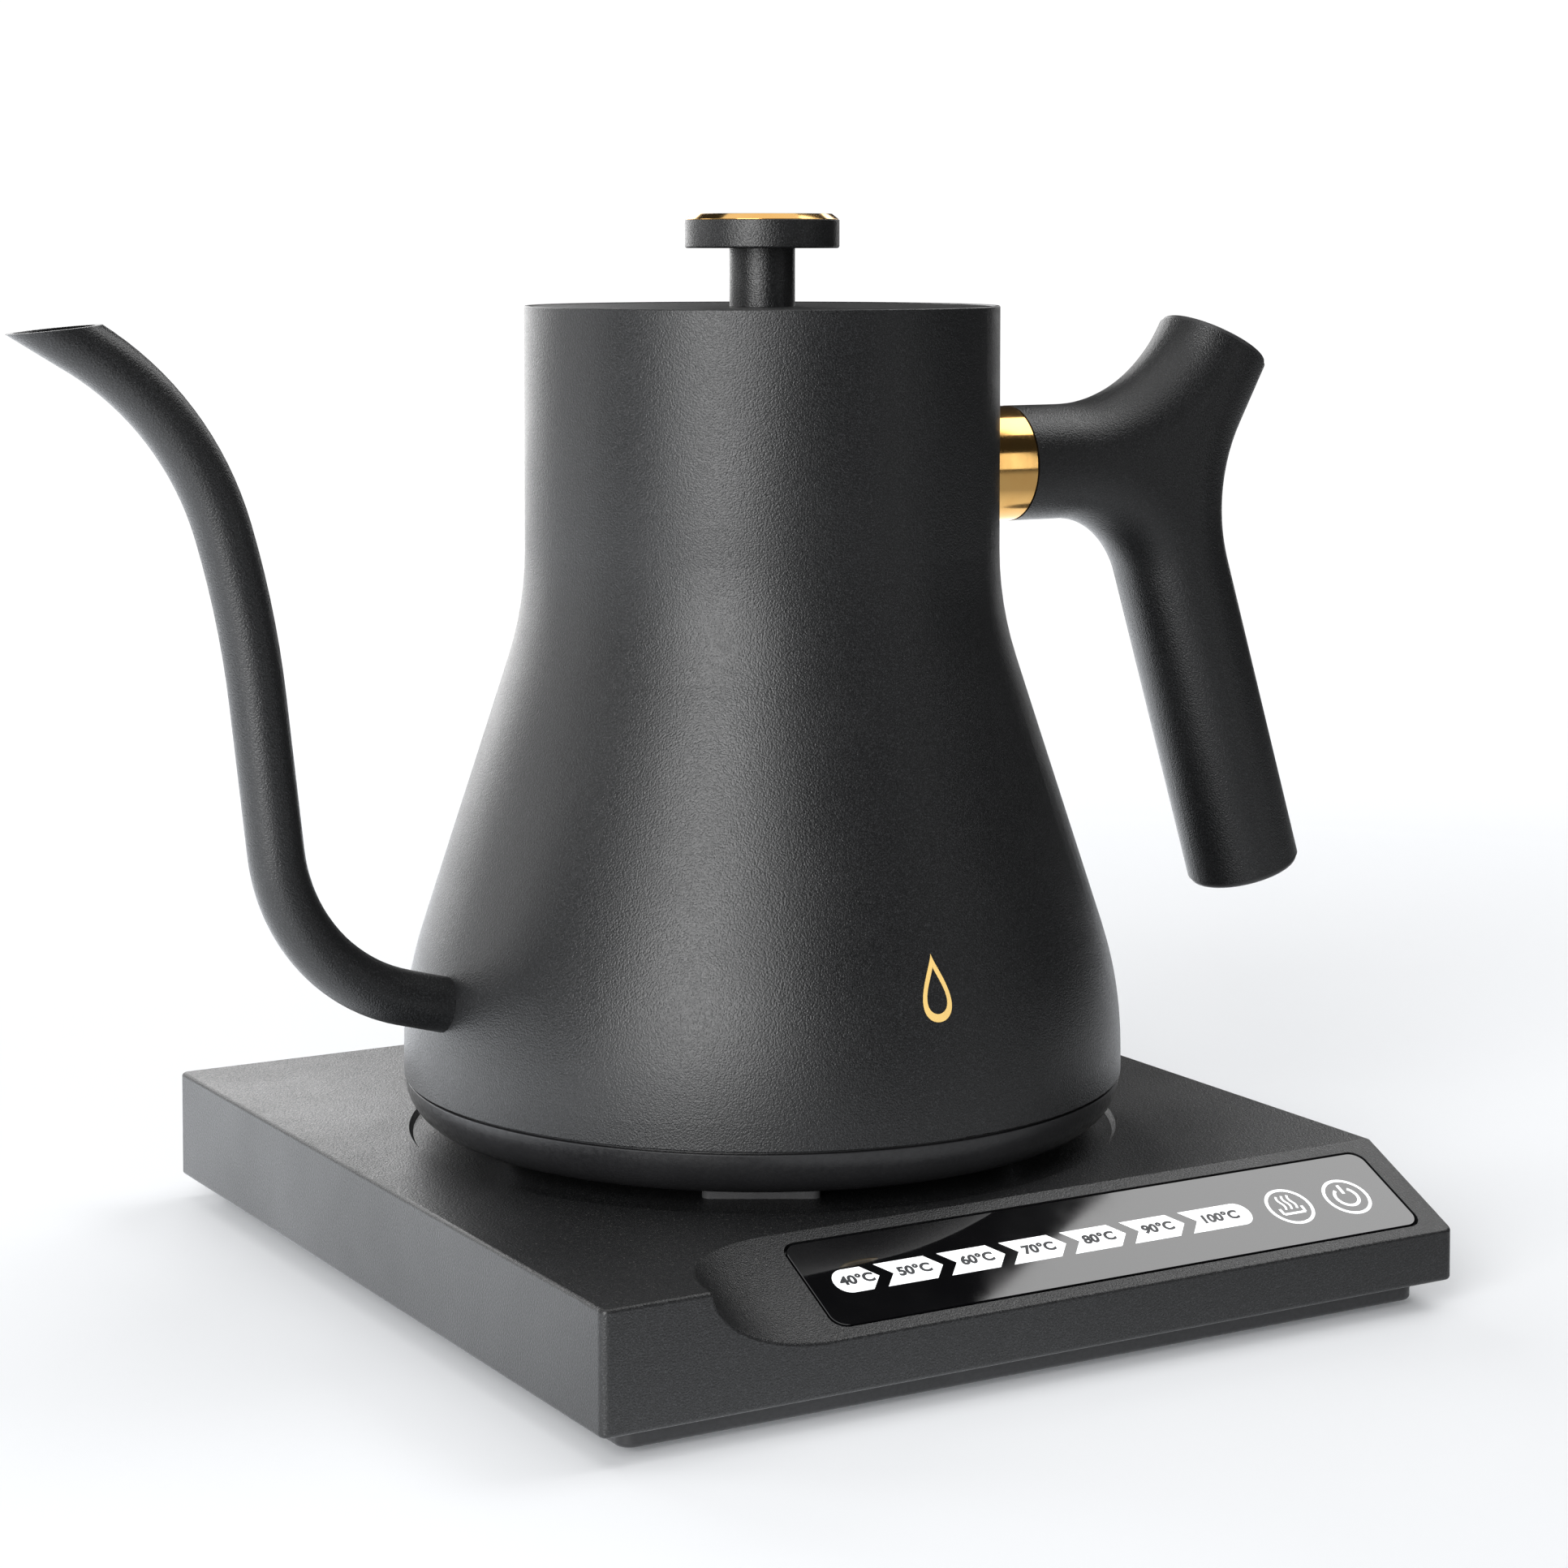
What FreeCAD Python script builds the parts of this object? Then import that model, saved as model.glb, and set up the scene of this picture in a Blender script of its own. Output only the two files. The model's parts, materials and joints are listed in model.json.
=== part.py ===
import FreeCAD, Part
import math
import os
from types import SimpleNamespace

import Sketcher
from FreeCAD import Placement, Rotation, Vector

# A gooseneck kettle that stands on its heating base, in millimetres, +Z up.
# The origin is on the kettle's swivel axis, at the surface that the base stands on.
# +X points to the handle, -X to the spout, and the control panel faces -Y.

DIMENSIONS = {
    # base
    "base_left": 87.05,
    "base_right": 94.95,
    "base_front": 98.95,
    "base_back": 96.55,
    "base_corner": 1.6,
    "panel_round": 0.7,
    "edge_round": 0.8,
    "casing_bottom": 5.2,
    "casing_top": 27.0,
    "casing_wall": 2.5,
    "plinth_bottom": 1.3,
    "plinth_inset_x": 5.8,
    "plinth_inset_y": 3.9,
    "plinth_floor": 2.7,
    "plinth_corner": 3.0,
    "plinth_round": 0.8,
    "flange_height": 2.0,
    "seat_radius": 70.6,
    "seat_depth": 1.0,
    "seat_bevel": 0.8,
    "throat_radius": 19.0,
    # slanted control panel
    "panel_angle": 25.9,
    "panel_run": 24.9,
    "scoop_start": 21.0,
    "scoop_reach": 24.0,
    "glass_left": 46.8,
    "glass_right": 176.4,
    "glass_top": 3.15,
    "glass_bottom": 24.6,
    "glass_corner": 3.0,
    "glass_gap": 0.4,
    "glass_thick": 1.5,
    "glass_ledge": 2.0,
    "guide_thick": 2.0,
    "board_thick": 1.6,
    # base fittings
    "boss_radius": 4.0,
    "screw_radius": 1.5,
    "screw_head": 3.0,
    "screw_clearance": 1.7,
    "screw_inset": 14.0,
    "front_screw_inset": 33.0,
    "screw_head_height": 1.6,
    "foot_ring_inner": 54.0,
    "foot_ring_outer": 64.0,
    "foot_ring_seat": 1.2,
    "gland_radius": 6.0,
    "gland_bore": 3.6,
    "gland_height": 14.6,
    "gland_flange": 7.2,
    "gland_flange_thick": 3.0,
    # power board and what stands on it
    "board_left": -60.0,
    "board_right": 40.0,
    "board_front": 30.0,
    "board_back": 84.0,
    "board_gap": 4.0,
    "standoff_radius": 2.5,
    "standoff_inset_x": 4.0,
    "standoff_inset_y": 6.0,
    "relay_x": -52.0,
    "relay_y": 44.0,
    "relay_length": 20.0,
    "relay_width": 15.0,
    "relay_height": 12.0,
    "core_x": -20.0,
    "core_y": 42.0,
    "core_length": 24.0,
    "core_width": 18.0,
    "core_height": 9.0,
    "coil_x": -15.0,
    "coil_length": 14.0,
    "coil_overhang": 4.0,
    "coil_height": 12.0,
    "capacitor_x": 14.0,
    "capacitor_y": 52.0,
    "capacitor_radius": 5.0,
    "capacitor_height": 12.5,
    "terminal_x": -8.0,
    "terminal_y": 68.0,
    "terminal_length": 24.0,
    "terminal_width": 12.0,
    "terminal_height": 10.0,
    "buzzer_x": 28.0,
    "buzzer_y": 56.0,
    "buzzer_radius": 6.0,
    "buzzer_height": 6.0,
    "buzzer_hole": 1.0,
    # cordless connector
    "spigot_radius": 14.0,
    "spigot_top": 34.5,
    "spigot_flange": 24.0,
    "spigot_wall": 3.0,
    "spigot_core": 7.0,
    "spigot_bore": 4.0,
    "spigot_groove": 10.0,
    "pin_radius": 1.5,
    "leaf_thick": 0.8,
    "leaf_angle": 60.0,
    "shroud_gap": 0.05,
    "shroud_radius": 17.0,
    "socket_radius": 17.5,
    "socket_outer": 22.0,
    "contact_inner": 2.2,
    "contact_outer": 3.2,
    "blade_inner": 8.6,
    "blade_outer": 9.4,
    "contact_length": 7.0,
    # vessel
    "body_radius": 71.5,
    "neck_radius": 47.1,
    "wall": 1.0,
    "metal_edge": 0.3,
    "seam_height": 38.3,
    "cone_angle": 17.92,
    "cone_height": 117.0,
    "cone_radius": 51.6,
    "belly_round": 79.0,
    "belly_round_inside": 65.0,
    "neck_round": 70.0,
    "rim_height": 190.0,
    "ledge_height": 188.0,
    "ledge_radius": 43.8,
    "ledge_thick": 1.0,
    "heater_height": 45.0,
    "heater_flange": 5.0,
    "spreader_radius": 50.0,
    "spreader_thick": 2.5,
    "element_radius": 42.0,
    "element_width": 6.5,
    "element_turn": 310.0,
    "cutout_circle": 31.0,
    "cutout_radius": 6.0,
    "cutout_height": 3.0,
    "post_circle": 56.0,
    "post_radius": 3.5,
    "sensor_circle": 58.0,
    "sensor_radius": 3.0,
    "sensor_reach": 6.0,
    "seal_wall": 1.5,
    "cover_top": 37.9,
    "cover_bottom": 29.0,
    "cover_radius": 71.2,
    "cover_round": 8.8,
    "cover_wall": 2.0,
    "kettle_foot_inner": 49.0,
    "kettle_foot_outer": 57.0,
    "kettle_foot_width": 22.0,
    "kettle_foot_corner": 1.5,
    "kettle_foot_bottom": 26.0,
    # spout
    "spout_radius": 5.3,
    "spout_bore": 4.5,
    "root_angle": 15.3,
    "root_x": -66.8,
    "root_height": 56.72,
    "heel_x": -101.07,
    "heel_height": 66.07,
    "heel_round": 35.0,
    "waist_x": -108.85,
    "waist_height": 134.0,
    "waist_round": 185.0,
    "crest_x": -120.05,
    "crest_height": 171.81,
    "crest_round": 60.0,
    "route_end_x": -160.0,
    "route_end_height": 196.2,
    "tip_low_x": -153.8,
    "tip_low_height": 186.2,
    "tip_high_x": -134.5,
    "tip_high_height": 188.0,
    "tip_margin": 10.0,
    # handle
    "handle_height": 156.9,
    "ferrule_radius": 11.85,
    "ferrule_end": 58.4,
    "stud_radius": 4.0,
    "stud_end": 80.0,
    "grip_radius": 12.0,
    "grip_round": 11.8,
    "crotch_above": 33.0,
    "crotch_below": 19.0,
    "grip_back_round": 36.0,
    "set_screw_x": 70.0,
    "set_screw_radius": 2.0,
    "set_screw_length": 7.0,
    "cap_gap": 0.3,
    "horn_cap_thick": 1.0,
    "horn_cap_round": 0.4,
    "end_cap_thick": 1.3,
    "end_cap_round": 0.9,
    "grip_lean": 16.8,
    "horn_lean": 28.5,
    "horn_x": 110.8,
    "horn_height": 180.7,
    "grip_end_x": 120.0,
    "grip_end_height": 68.2,
    # lid
    "lid_radius": 45.8,
    "lid_bottom": 188.8,
    "lid_top": 189.8,
    "skirt_radius": 43.2,
    "skirt_bottom": 177.0,
    "skirt_wall": 0.8,
    "stem_radius": 6.5,
    "knob_bottom": 201.3,
    "knob_radius": 15.3,
    "cap_bottom": 206.9,
    "knob_top": 208.1,
    "cap_chamfer": 1.5,
    "lid_screw_radius": 2.0,
    "lid_screw_head": 3.5,
    "washer_radius": 5.0,
    "washer_thick": 0.8,
    "vent_circle": 33.0,
    "vent_radius": 1.2,
    "skirt_lip": 6.0,
}


class Size:
    """A number together with the sheet expression that gives it."""

    def __init__(self, value, text):
        self.value = float(value)
        self.text = text

    def __add__(self, other):
        return join(self, "+", other, self.value + size(other).value)

    def __radd__(self, other):
        return size(other) + self

    def __sub__(self, other):
        return join(self, "-", other, self.value - size(other).value)

    def __rsub__(self, other):
        return size(other) - self

    def __mul__(self, other):
        return join(self, "*", other, self.value * size(other).value)

    def __rmul__(self, other):
        return size(other) * self

    def __truediv__(self, other):
        return join(self, "/", other, self.value / size(other).value)

    def __neg__(self):
        return size(0) - self

    def __float__(self):
        return self.value


def size(number):
    """Returns a Size, whether it gets one or a plain number."""
    if isinstance(number, Size):
        return number
    return Size(number, "(%r)" % float(number))


def join(left, sign, right, value):
    """Joins two sizes with an arithmetic sign."""
    return Size(value, "(%s %s %s)" % (size(left).text, sign, size(right).text))


def sine(angle):
    return Size(math.sin(math.radians(float(angle))), "sin(%s)" % size(angle).text)


def cosine(angle):
    return Size(math.cos(math.radians(float(angle))), "cos(%s)" % size(angle).text)


def tangent(angle):
    return Size(math.tan(math.radians(float(angle))), "tan(%s)" % size(angle).text)


doc = FreeCAD.newDocument("GooseneckKettle")
sheet = doc.addObject("Spreadsheet::Sheet", "Dims")
for row, (name, number) in enumerate(DIMENSIONS.items(), start=1):
    sheet.set("A%d" % row, name)
    sheet.set("B%d" % row, str(number))
    sheet.setAlias("B%d" % row, name)
doc.recompute()
D = SimpleNamespace(**{name: Size(number, "Dims." + name) for name, number in DIMENSIONS.items()})

sub_parts = []


# ---------------------------------------------------------------- features

def bind(feature, prop, amount):
    """Ties one property of a feature to the sheet."""
    feature.setExpression(prop, size(amount).text)


def new_body(label):
    """Adds an empty body that becomes one sub-part."""
    body = doc.addObject("PartDesign::Body", label)
    body.Label = label
    body.AllowCompound = True
    sub_parts.append(body)
    return body


def new_sketch(body, name, role, offset=0, shift=(0, 0), tilt=None):
    """Adds a sketch on one of the body's origin planes, moved out by offset and tilted about its x axis."""
    sketch = body.newObject("Sketcher::SketchObject", "%s_%s" % (body.Name, name))
    plane = next(item for item in body.Origin.OriginFeatures if item.Role == role)
    sketch.AttachmentSupport = [(plane, "")]
    sketch.MapMode = "FlatFace"
    if tilt is not None:
        sketch.AttachmentOffset = Placement(Vector(0, 0, 0), Rotation(Vector(1, 0, 0), 1))
        bind(sketch, "AttachmentOffset.Rotation.Angle", tilt)
    bind(sketch, "AttachmentOffset.Base.x", shift[0])
    bind(sketch, "AttachmentOffset.Base.y", shift[1])
    bind(sketch, "AttachmentOffset.Base.z", offset)
    return sketch


def fix(sketch, kind, *place):
    """Adds a dimension whose last item is a size, and ties it to the sheet."""
    amount = size(place[-1])
    index = sketch.addConstraint(Sketcher.Constraint(kind, *place[:-1], amount.value))
    sketch.setExpression("Constraints[%d]" % index, amount.text)


def fix_point(sketch, geometry, end, x, y):
    """Dimensions a point from the sketch's origin."""
    fix(sketch, "DistanceX", -1, 1, geometry, end, x)
    fix(sketch, "DistanceY", -1, 1, geometry, end, y)


def flat(point):
    return Vector(float(point[0]), float(point[1]), 0)


def outline(sketch, corners, closed=True):
    """Draws straight sides through the corners. A corner's third item is the radius that rounds it."""
    count = len(corners)
    rounds = []
    for index, corner in enumerate(corners):
        radius = float(corner[2]) if len(corner) > 2 else 0.0
        here = flat(corner)
        if radius == 0.0:
            rounds.append((here, here, None, None))
            continue
        back = (flat(corners[index - 1]) - here).normalize()
        onward = (flat(corners[(index + 1) % count]) - here).normalize()
        half_turn = (math.pi - back.getAngle(onward)) / 2
        reach = radius * math.tan(half_turn)
        centre = here + (back + onward).normalize() * (radius / math.cos(half_turn))
        rounds.append((here + back * reach, here + onward * reach, centre, radius))
    side_count = count if closed else count - 1
    sides = []
    for index in range(side_count):
        start = rounds[index][1]
        end = rounds[(index + 1) % count][0]
        sides.append(sketch.addGeometry(Part.LineSegment(start, end), False))
    for index, corner in enumerate(corners):
        before = sides[index - 1] if closed or index > 0 else None
        after = sides[index] if index < side_count else None
        if rounds[index][2] is not None:
            round_corner(sketch, corner, rounds[index], before, after)
        elif before is None:
            fix_point(sketch, after, 1, corner[0], corner[1])
        else:
            if after is not None:
                sketch.addConstraint(Sketcher.Constraint("Coincident", before, 2, after, 1))
            fix_point(sketch, before, 2, corner[0], corner[1])


def round_corner(sketch, corner, rounding, before, after):
    """Joins two sides with an arc that is tangent to both. The corner itself stays as a helper point."""
    start, end, centre, radius = rounding
    first = math.atan2(start.y - centre.y, start.x - centre.x)
    last = math.atan2(end.y - centre.y, end.x - centre.x)
    turns_left = (last - first) % (2 * math.pi) < math.pi
    circle = Part.Circle(centre, Vector(0, 0, 1), radius)
    if turns_left:
        arc = sketch.addGeometry(Part.ArcOfCircle(circle, first, last), False)
    else:
        arc = sketch.addGeometry(Part.ArcOfCircle(circle, last, first), False)
    near, far = (1, 2) if turns_left else (2, 1)
    helper = sketch.addGeometry(Part.Point(flat(corner)), True)
    fix_point(sketch, helper, 1, corner[0], corner[1])
    sketch.addConstraint(Sketcher.Constraint("PointOnObject", helper, 1, before))
    sketch.addConstraint(Sketcher.Constraint("PointOnObject", helper, 1, after))
    sketch.addConstraint(Sketcher.Constraint("Tangent", before, 2, arc, near))
    sketch.addConstraint(Sketcher.Constraint("Tangent", after, 1, arc, far))
    fix(sketch, "Radius", arc, corner[2])


def circle(sketch, x, y, radius):
    """Draws a circle."""
    shape = Part.Circle(Vector(float(x), float(y), 0), Vector(0, 0, 1), float(radius))
    index = sketch.addGeometry(shape, False)
    fix_point(sketch, index, 3, x, y)
    fix(sketch, "Radius", index, radius)


def rectangle(sketch, left, bottom, right, top, corner=None):
    """Draws a rectangle, with rounded corners if corner is given."""
    tail = () if corner is None else (corner,)
    places = ((left, bottom), (right, bottom), (right, top), (left, top))
    outline(sketch, [place + tail for place in places])


def feature(body, kind, name, sketch):
    """Adds a PartDesign feature that works on a sketch."""
    result = body.newObject("PartDesign::" + kind, "%s_%s" % (body.Name, name))
    result.Profile = sketch
    sketch.Visibility = False
    return result


def pad(body, name, sketch, length, downward=False, centred=False):
    """Adds material along the sketch's normal, or against it."""
    result = feature(body, "Pad", name, sketch)
    bind(result, "Length", length)
    result.Reversed = downward
    if centred:
        result.SideType = "Symmetric"
    doc.recompute()
    return result


def pocket(body, name, sketch, length=None, upward=False, centred=False):
    """Cuts against the sketch's normal, or along it. With no length it cuts right through."""
    before = body.Shape.Volume
    result = feature(body, "Pocket", name, sketch)
    if length is None:
        result.Type = "ThroughAll"
    else:
        bind(result, "Length", length)
    result.Reversed = upward
    if centred:
        result.SideType = "Symmetric"
    doc.recompute()
    if not body.Shape.Volume < before:
        raise RuntimeError("%s removes nothing" % result.Label)
    return result


def revolve(body, name, sketch, axis="V_Axis", angle=360):
    """Turns a sketch about its own vertical axis."""
    result = feature(body, "Revolution", name, sketch)
    result.ReferenceAxis = (sketch, [axis])
    bind(result, "Angle", angle)
    doc.recompute()
    return result


def groove(body, name, sketch, axis="V_Axis"):
    """Removes what a sketch sweeps as it turns a full circle."""
    before = body.Shape.Volume
    result = feature(body, "Groove", name, sketch)
    result.ReferenceAxis = (sketch, [axis])
    doc.recompute()
    if not body.Shape.Volume < before:
        raise RuntimeError("%s removes nothing" % result.Label)
    return result


def fillet(body, name, base, edges, radius):
    """Rounds edges of the feature that comes before."""
    result = body.newObject("PartDesign::Fillet", "%s_%s" % (body.Name, name))
    result.Base = (base, edges)
    bind(result, "Radius", radius)
    doc.recompute()
    return result


def round_piece(label, corners, angle=360):
    """A sub-part turned about the kettle's axis from an outline of radius and height."""
    body = new_body(label)
    sketch = new_sketch(body, "outline", "XZ_Plane")
    outline(sketch, corners)
    revolve(body, "turn", sketch, angle=angle)
    return body


def ring_corners(inner, outer, bottom, top):
    """The outline of a plain ring."""
    return [(inner, bottom), (outer, bottom), (outer, top), (inner, top)]


def ring_places(radius, angles):
    """Places round a circle, one for each angle."""
    return [(radius * cosine(angle), radius * sine(angle)) for angle in angles]


def post_group(label, places, radius, bottom, top):
    """A group of equal upright cylinders."""
    body = new_body(label)
    add_posts(body, "posts", places, radius, bottom, top)
    return body


def add_posts(body, name, places, radius, bottom, top):
    """Adds upright cylinders to a body."""
    sketch = new_sketch(body, name + "_outline", "XY_Plane", offset=bottom)
    for x, y in places:
        circle(sketch, x, y, radius)
    return pad(body, name, sketch, top - bottom)


def drill(body, name, places, radius, bottom, top):
    """Cuts upright round holes from bottom to top."""
    sketch = new_sketch(body, name + "_outline", "XY_Plane", offset=top)
    for x, y in places:
        circle(sketch, x, y, radius)
    return pocket(body, name, sketch, top - bottom)


def screw_group(label, places, head_bottom, head_height, top, radius, head_radius):
    """A group of pan-head screws that go in from below, each with a slot in its head."""
    body = new_body(label)
    add_posts(body, "heads", places, head_radius, head_bottom, head_bottom + head_height)
    add_posts(body, "shanks", places, radius, head_bottom + head_height, top)
    sketch = new_sketch(body, "slot_outline", "XY_Plane", offset=head_bottom)
    for x, y in places:
        rectangle(sketch, x - head_radius * 0.7, y - 0.4, x + head_radius * 0.7, y + 0.4)
    pocket(body, "slots", sketch, head_height / 2, upward=True)
    return body


def block(label, low, high):
    """A plain box between two corners."""
    body = doc.addObject("Part::Box", label)
    body.Label = label
    for axis, side, start, end in zip("xyz", ("Length", "Width", "Height"), low, high):
        bind(body, side, size(end) - start)
        bind(body, "Placement.Base." + axis, start)
    return body


# ---------------------------------------------------------------- vessel

cone_tangent = tangent(D.cone_angle)
body_corner_height = D.cone_height - (D.body_radius - D.cone_radius) / cone_tangent
neck_corner_height = D.cone_height + (D.cone_radius - D.neck_radius) / cone_tangent
inside_radius = D.body_radius - D.wall
neck_inside = D.neck_radius - D.wall
cone_inside = D.cone_radius - D.wall / cosine(D.cone_angle)
body_corner_inside = D.cone_height - (inside_radius - cone_inside) / cone_tangent
neck_corner_inside = D.cone_height + (cone_inside - neck_inside) / cone_tangent
ledge_under = D.ledge_height - D.ledge_thick
spout_route = [
    (D.root_x, D.root_height),
    (D.heel_x, D.heel_height, D.heel_round),
    (D.waist_x, D.waist_height, D.waist_round),
    (D.crest_x, D.crest_height, D.crest_round),
    (D.route_end_x, D.route_end_height),
]


def make_kettle_body():
    """The vessel's thin shell: belly, cone, neck and the ledge that carries the lid."""
    body = round_piece("kettle_body", [
        (D.body_radius, D.seam_height, D.metal_edge),
        (D.body_radius, body_corner_height, D.belly_round),
        (D.neck_radius, neck_corner_height, D.neck_round),
        (D.neck_radius, D.rim_height, D.metal_edge),
        (neck_inside, D.rim_height, D.metal_edge),
        (neck_inside, D.ledge_height),
        (D.ledge_radius, D.ledge_height),
        (D.ledge_radius, ledge_under),
        (neck_inside, ledge_under),
        (neck_inside, neck_corner_inside, D.neck_round + D.wall),
        (inside_radius, body_corner_inside, D.belly_round_inside),
        (inside_radius, D.seam_height),
    ])
    sketch = new_sketch(body, "spout_hole_outline", "YZ_Plane", offset=D.root_x, shift=(0, D.root_height),
                        tilt=D.root_angle)
    circle(sketch, 0, 0, D.spout_radius)
    pocket(body, "spout_hole", sketch, D.spout_radius * 3)


def make_spout():
    """The gooseneck tube, swept along its route and cut nearly level at the tip."""
    body = new_body("gooseneck_spout")
    path = new_sketch(body, "route", "XZ_Plane")
    outline(path, spout_route, closed=False)
    ring = new_sketch(body, "section", "YZ_Plane", offset=D.root_x, shift=(0, D.root_height),
                      tilt=D.root_angle)
    circle(ring, 0, 0, D.spout_radius)
    circle(ring, 0, 0, D.spout_bore)
    doc.recompute()
    pipe = feature(body, "AdditivePipe", "tube", ring)
    pipe.Spine = (path, ["Edge%d" % (index + 1) for index in range(len(path.Shape.Edges))])
    pipe.Mode = "Frenet"
    doc.recompute()
    slope = (D.tip_high_height - D.tip_low_height) / (D.tip_high_x - D.tip_low_x)
    left = D.tip_low_x - D.tip_margin
    right = D.tip_high_x + D.tip_margin
    top = D.tip_high_height + D.tip_margin * 3
    level = new_sketch(body, "tip_outline", "XZ_Plane")
    outline(level, [
        (left, D.tip_low_height - slope * D.tip_margin),
        (right, D.tip_high_height + slope * D.tip_margin),
        (right, top),
        (left, top),
    ])
    pocket(body, "tip_cut", level, D.spout_radius * 4, centred=True)


def make_heater_plate():
    """The vessel's floor: a pan pressed upwards, with its flange down and threaded posts under it."""
    under = D.heater_height - D.wall
    body = round_piece("heater_plate", [
        (size(0), under),
        (inside_radius - D.wall, under),
        (inside_radius - D.wall, D.heater_height - D.heater_flange),
        (inside_radius, D.heater_height - D.heater_flange),
        (inside_radius, D.heater_height),
        (size(0), D.heater_height),
    ])
    posts = ring_places(D.post_circle, (60, 180, 300))
    add_posts(body, "posts", posts, D.post_radius, D.cover_bottom + D.cover_wall, under)
    drill(body, "threads", posts, D.screw_radius, D.cover_bottom, D.cover_bottom + 11)
    sensor = ring_places(D.sensor_circle, (90,))
    drill(body, "sensor_hole", sensor, D.sensor_radius + D.seal_wall, under - 1, D.heater_height + 1)


def make_heater():
    """The heating stack under the floor: spreader, tubular element, cut-outs, sensor and seal."""
    under = D.heater_height - D.wall
    spreader_bottom = under - D.spreader_thick
    round_piece("heat_spreader", ring_corners(size(0), D.spreader_radius, spreader_bottom, under))
    half = D.element_width / 2
    element_bottom = spreader_bottom - D.element_width
    round_piece("heating_element", [
        (D.element_radius - half, spreader_bottom),
        (D.element_radius - half, element_bottom, half * 0.9),
        (D.element_radius + half, element_bottom, half * 0.9),
        (D.element_radius + half, spreader_bottom),
    ], angle=D.element_turn)
    cutouts = ring_places(D.cutout_circle, (210, 330))
    post_group("dry_boil_cutouts", cutouts, D.cutout_radius, spreader_bottom - D.cutout_height,
               spreader_bottom)
    sensor = ring_places(D.sensor_circle, (90,))
    probe = new_body("temperature_sensor")
    add_posts(probe, "probe", sensor, D.sensor_radius, under - 5, D.heater_height + D.sensor_reach)
    add_posts(probe, "collar", sensor, D.sensor_radius + 2, under - 7, under - 5)
    seal = new_body("sensor_seal")
    add_posts(seal, "sleeve", sensor, D.sensor_radius + D.seal_wall, under, D.heater_height)
    add_posts(seal, "lip", sensor, D.sensor_radius + D.seal_wall * 2, D.heater_height, D.heater_height + 1)
    drill(seal, "bore", sensor, D.sensor_radius, under - 1, D.heater_height + 2)


def make_bottom_cover():
    """The dark bowl that closes the kettle from below, with a spigot up inside the shell."""
    wall = D.cover_wall
    body = round_piece("kettle_bottom_cover", [
        (D.socket_outer, D.cover_bottom),
        (D.cover_radius, D.cover_bottom, D.cover_round),
        (D.cover_radius, D.cover_top, D.metal_edge),
        (inside_radius, D.cover_top),
        (inside_radius, D.heater_height - D.heater_flange),
        (D.cover_radius - wall, D.heater_height - D.heater_flange),
        (D.cover_radius - wall, D.cover_bottom + wall, D.cover_round - wall),
        (D.socket_outer, D.cover_bottom + wall),
    ])
    places = ring_places(D.post_circle, (60, 180, 300))
    drill(body, "screw_holes", places, D.screw_clearance, D.cover_bottom - 1, D.cover_bottom + 3)
    screw_group("bottom_cover_screws", places, D.cover_bottom - D.screw_head_height,
                D.screw_head_height, D.cover_bottom + 10, D.screw_radius, D.screw_head)


def make_kettle_feet():
    """Three blunt pads under the cover, one of them towards the front left."""
    body = new_body("kettle_feet")
    sketch = new_sketch(body, "outline", "XY_Plane", offset=D.kettle_foot_bottom)
    half = D.kettle_foot_width / 2
    for angle in (0, 120, 240):
        across, along = cosine(angle), sine(angle)
        corners = []
        for radius, side in ((D.kettle_foot_inner, -half), (D.kettle_foot_outer, -half),
                             (D.kettle_foot_outer, half), (D.kettle_foot_inner, half)):
            corners.append((radius * across - side * along, radius * along + side * across,
                            D.kettle_foot_corner))
        outline(sketch, corners)
    pad(body, "pads", sketch, D.cover_bottom - D.kettle_foot_bottom)


def make_kettle_connector():
    """The round socket in the kettle's underside, open below, with its contact tube and blade."""
    ceiling = D.spigot_top + 1
    top = D.heater_height - D.wall - D.spreader_thick
    round_piece("kettle_connector", [
        (size(0), ceiling),
        (D.socket_radius, ceiling),
        (D.socket_radius, D.cover_bottom - 0.5),
        (D.socket_outer, D.cover_bottom - 0.5),
        (D.socket_outer, top),
        (size(0), top),
    ])
    contacts_bottom = ceiling - D.contact_length
    body = round_piece("connector_contacts",
                       ring_corners(D.contact_inner, D.contact_outer, contacts_bottom, ceiling))
    sketch = new_sketch(body, "blade_outline", "XZ_Plane")
    outline(sketch, ring_corners(D.blade_inner, D.blade_outer, contacts_bottom, ceiling))
    revolve(body, "blade", sketch)


# ---------------------------------------------------------------- handle

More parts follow.
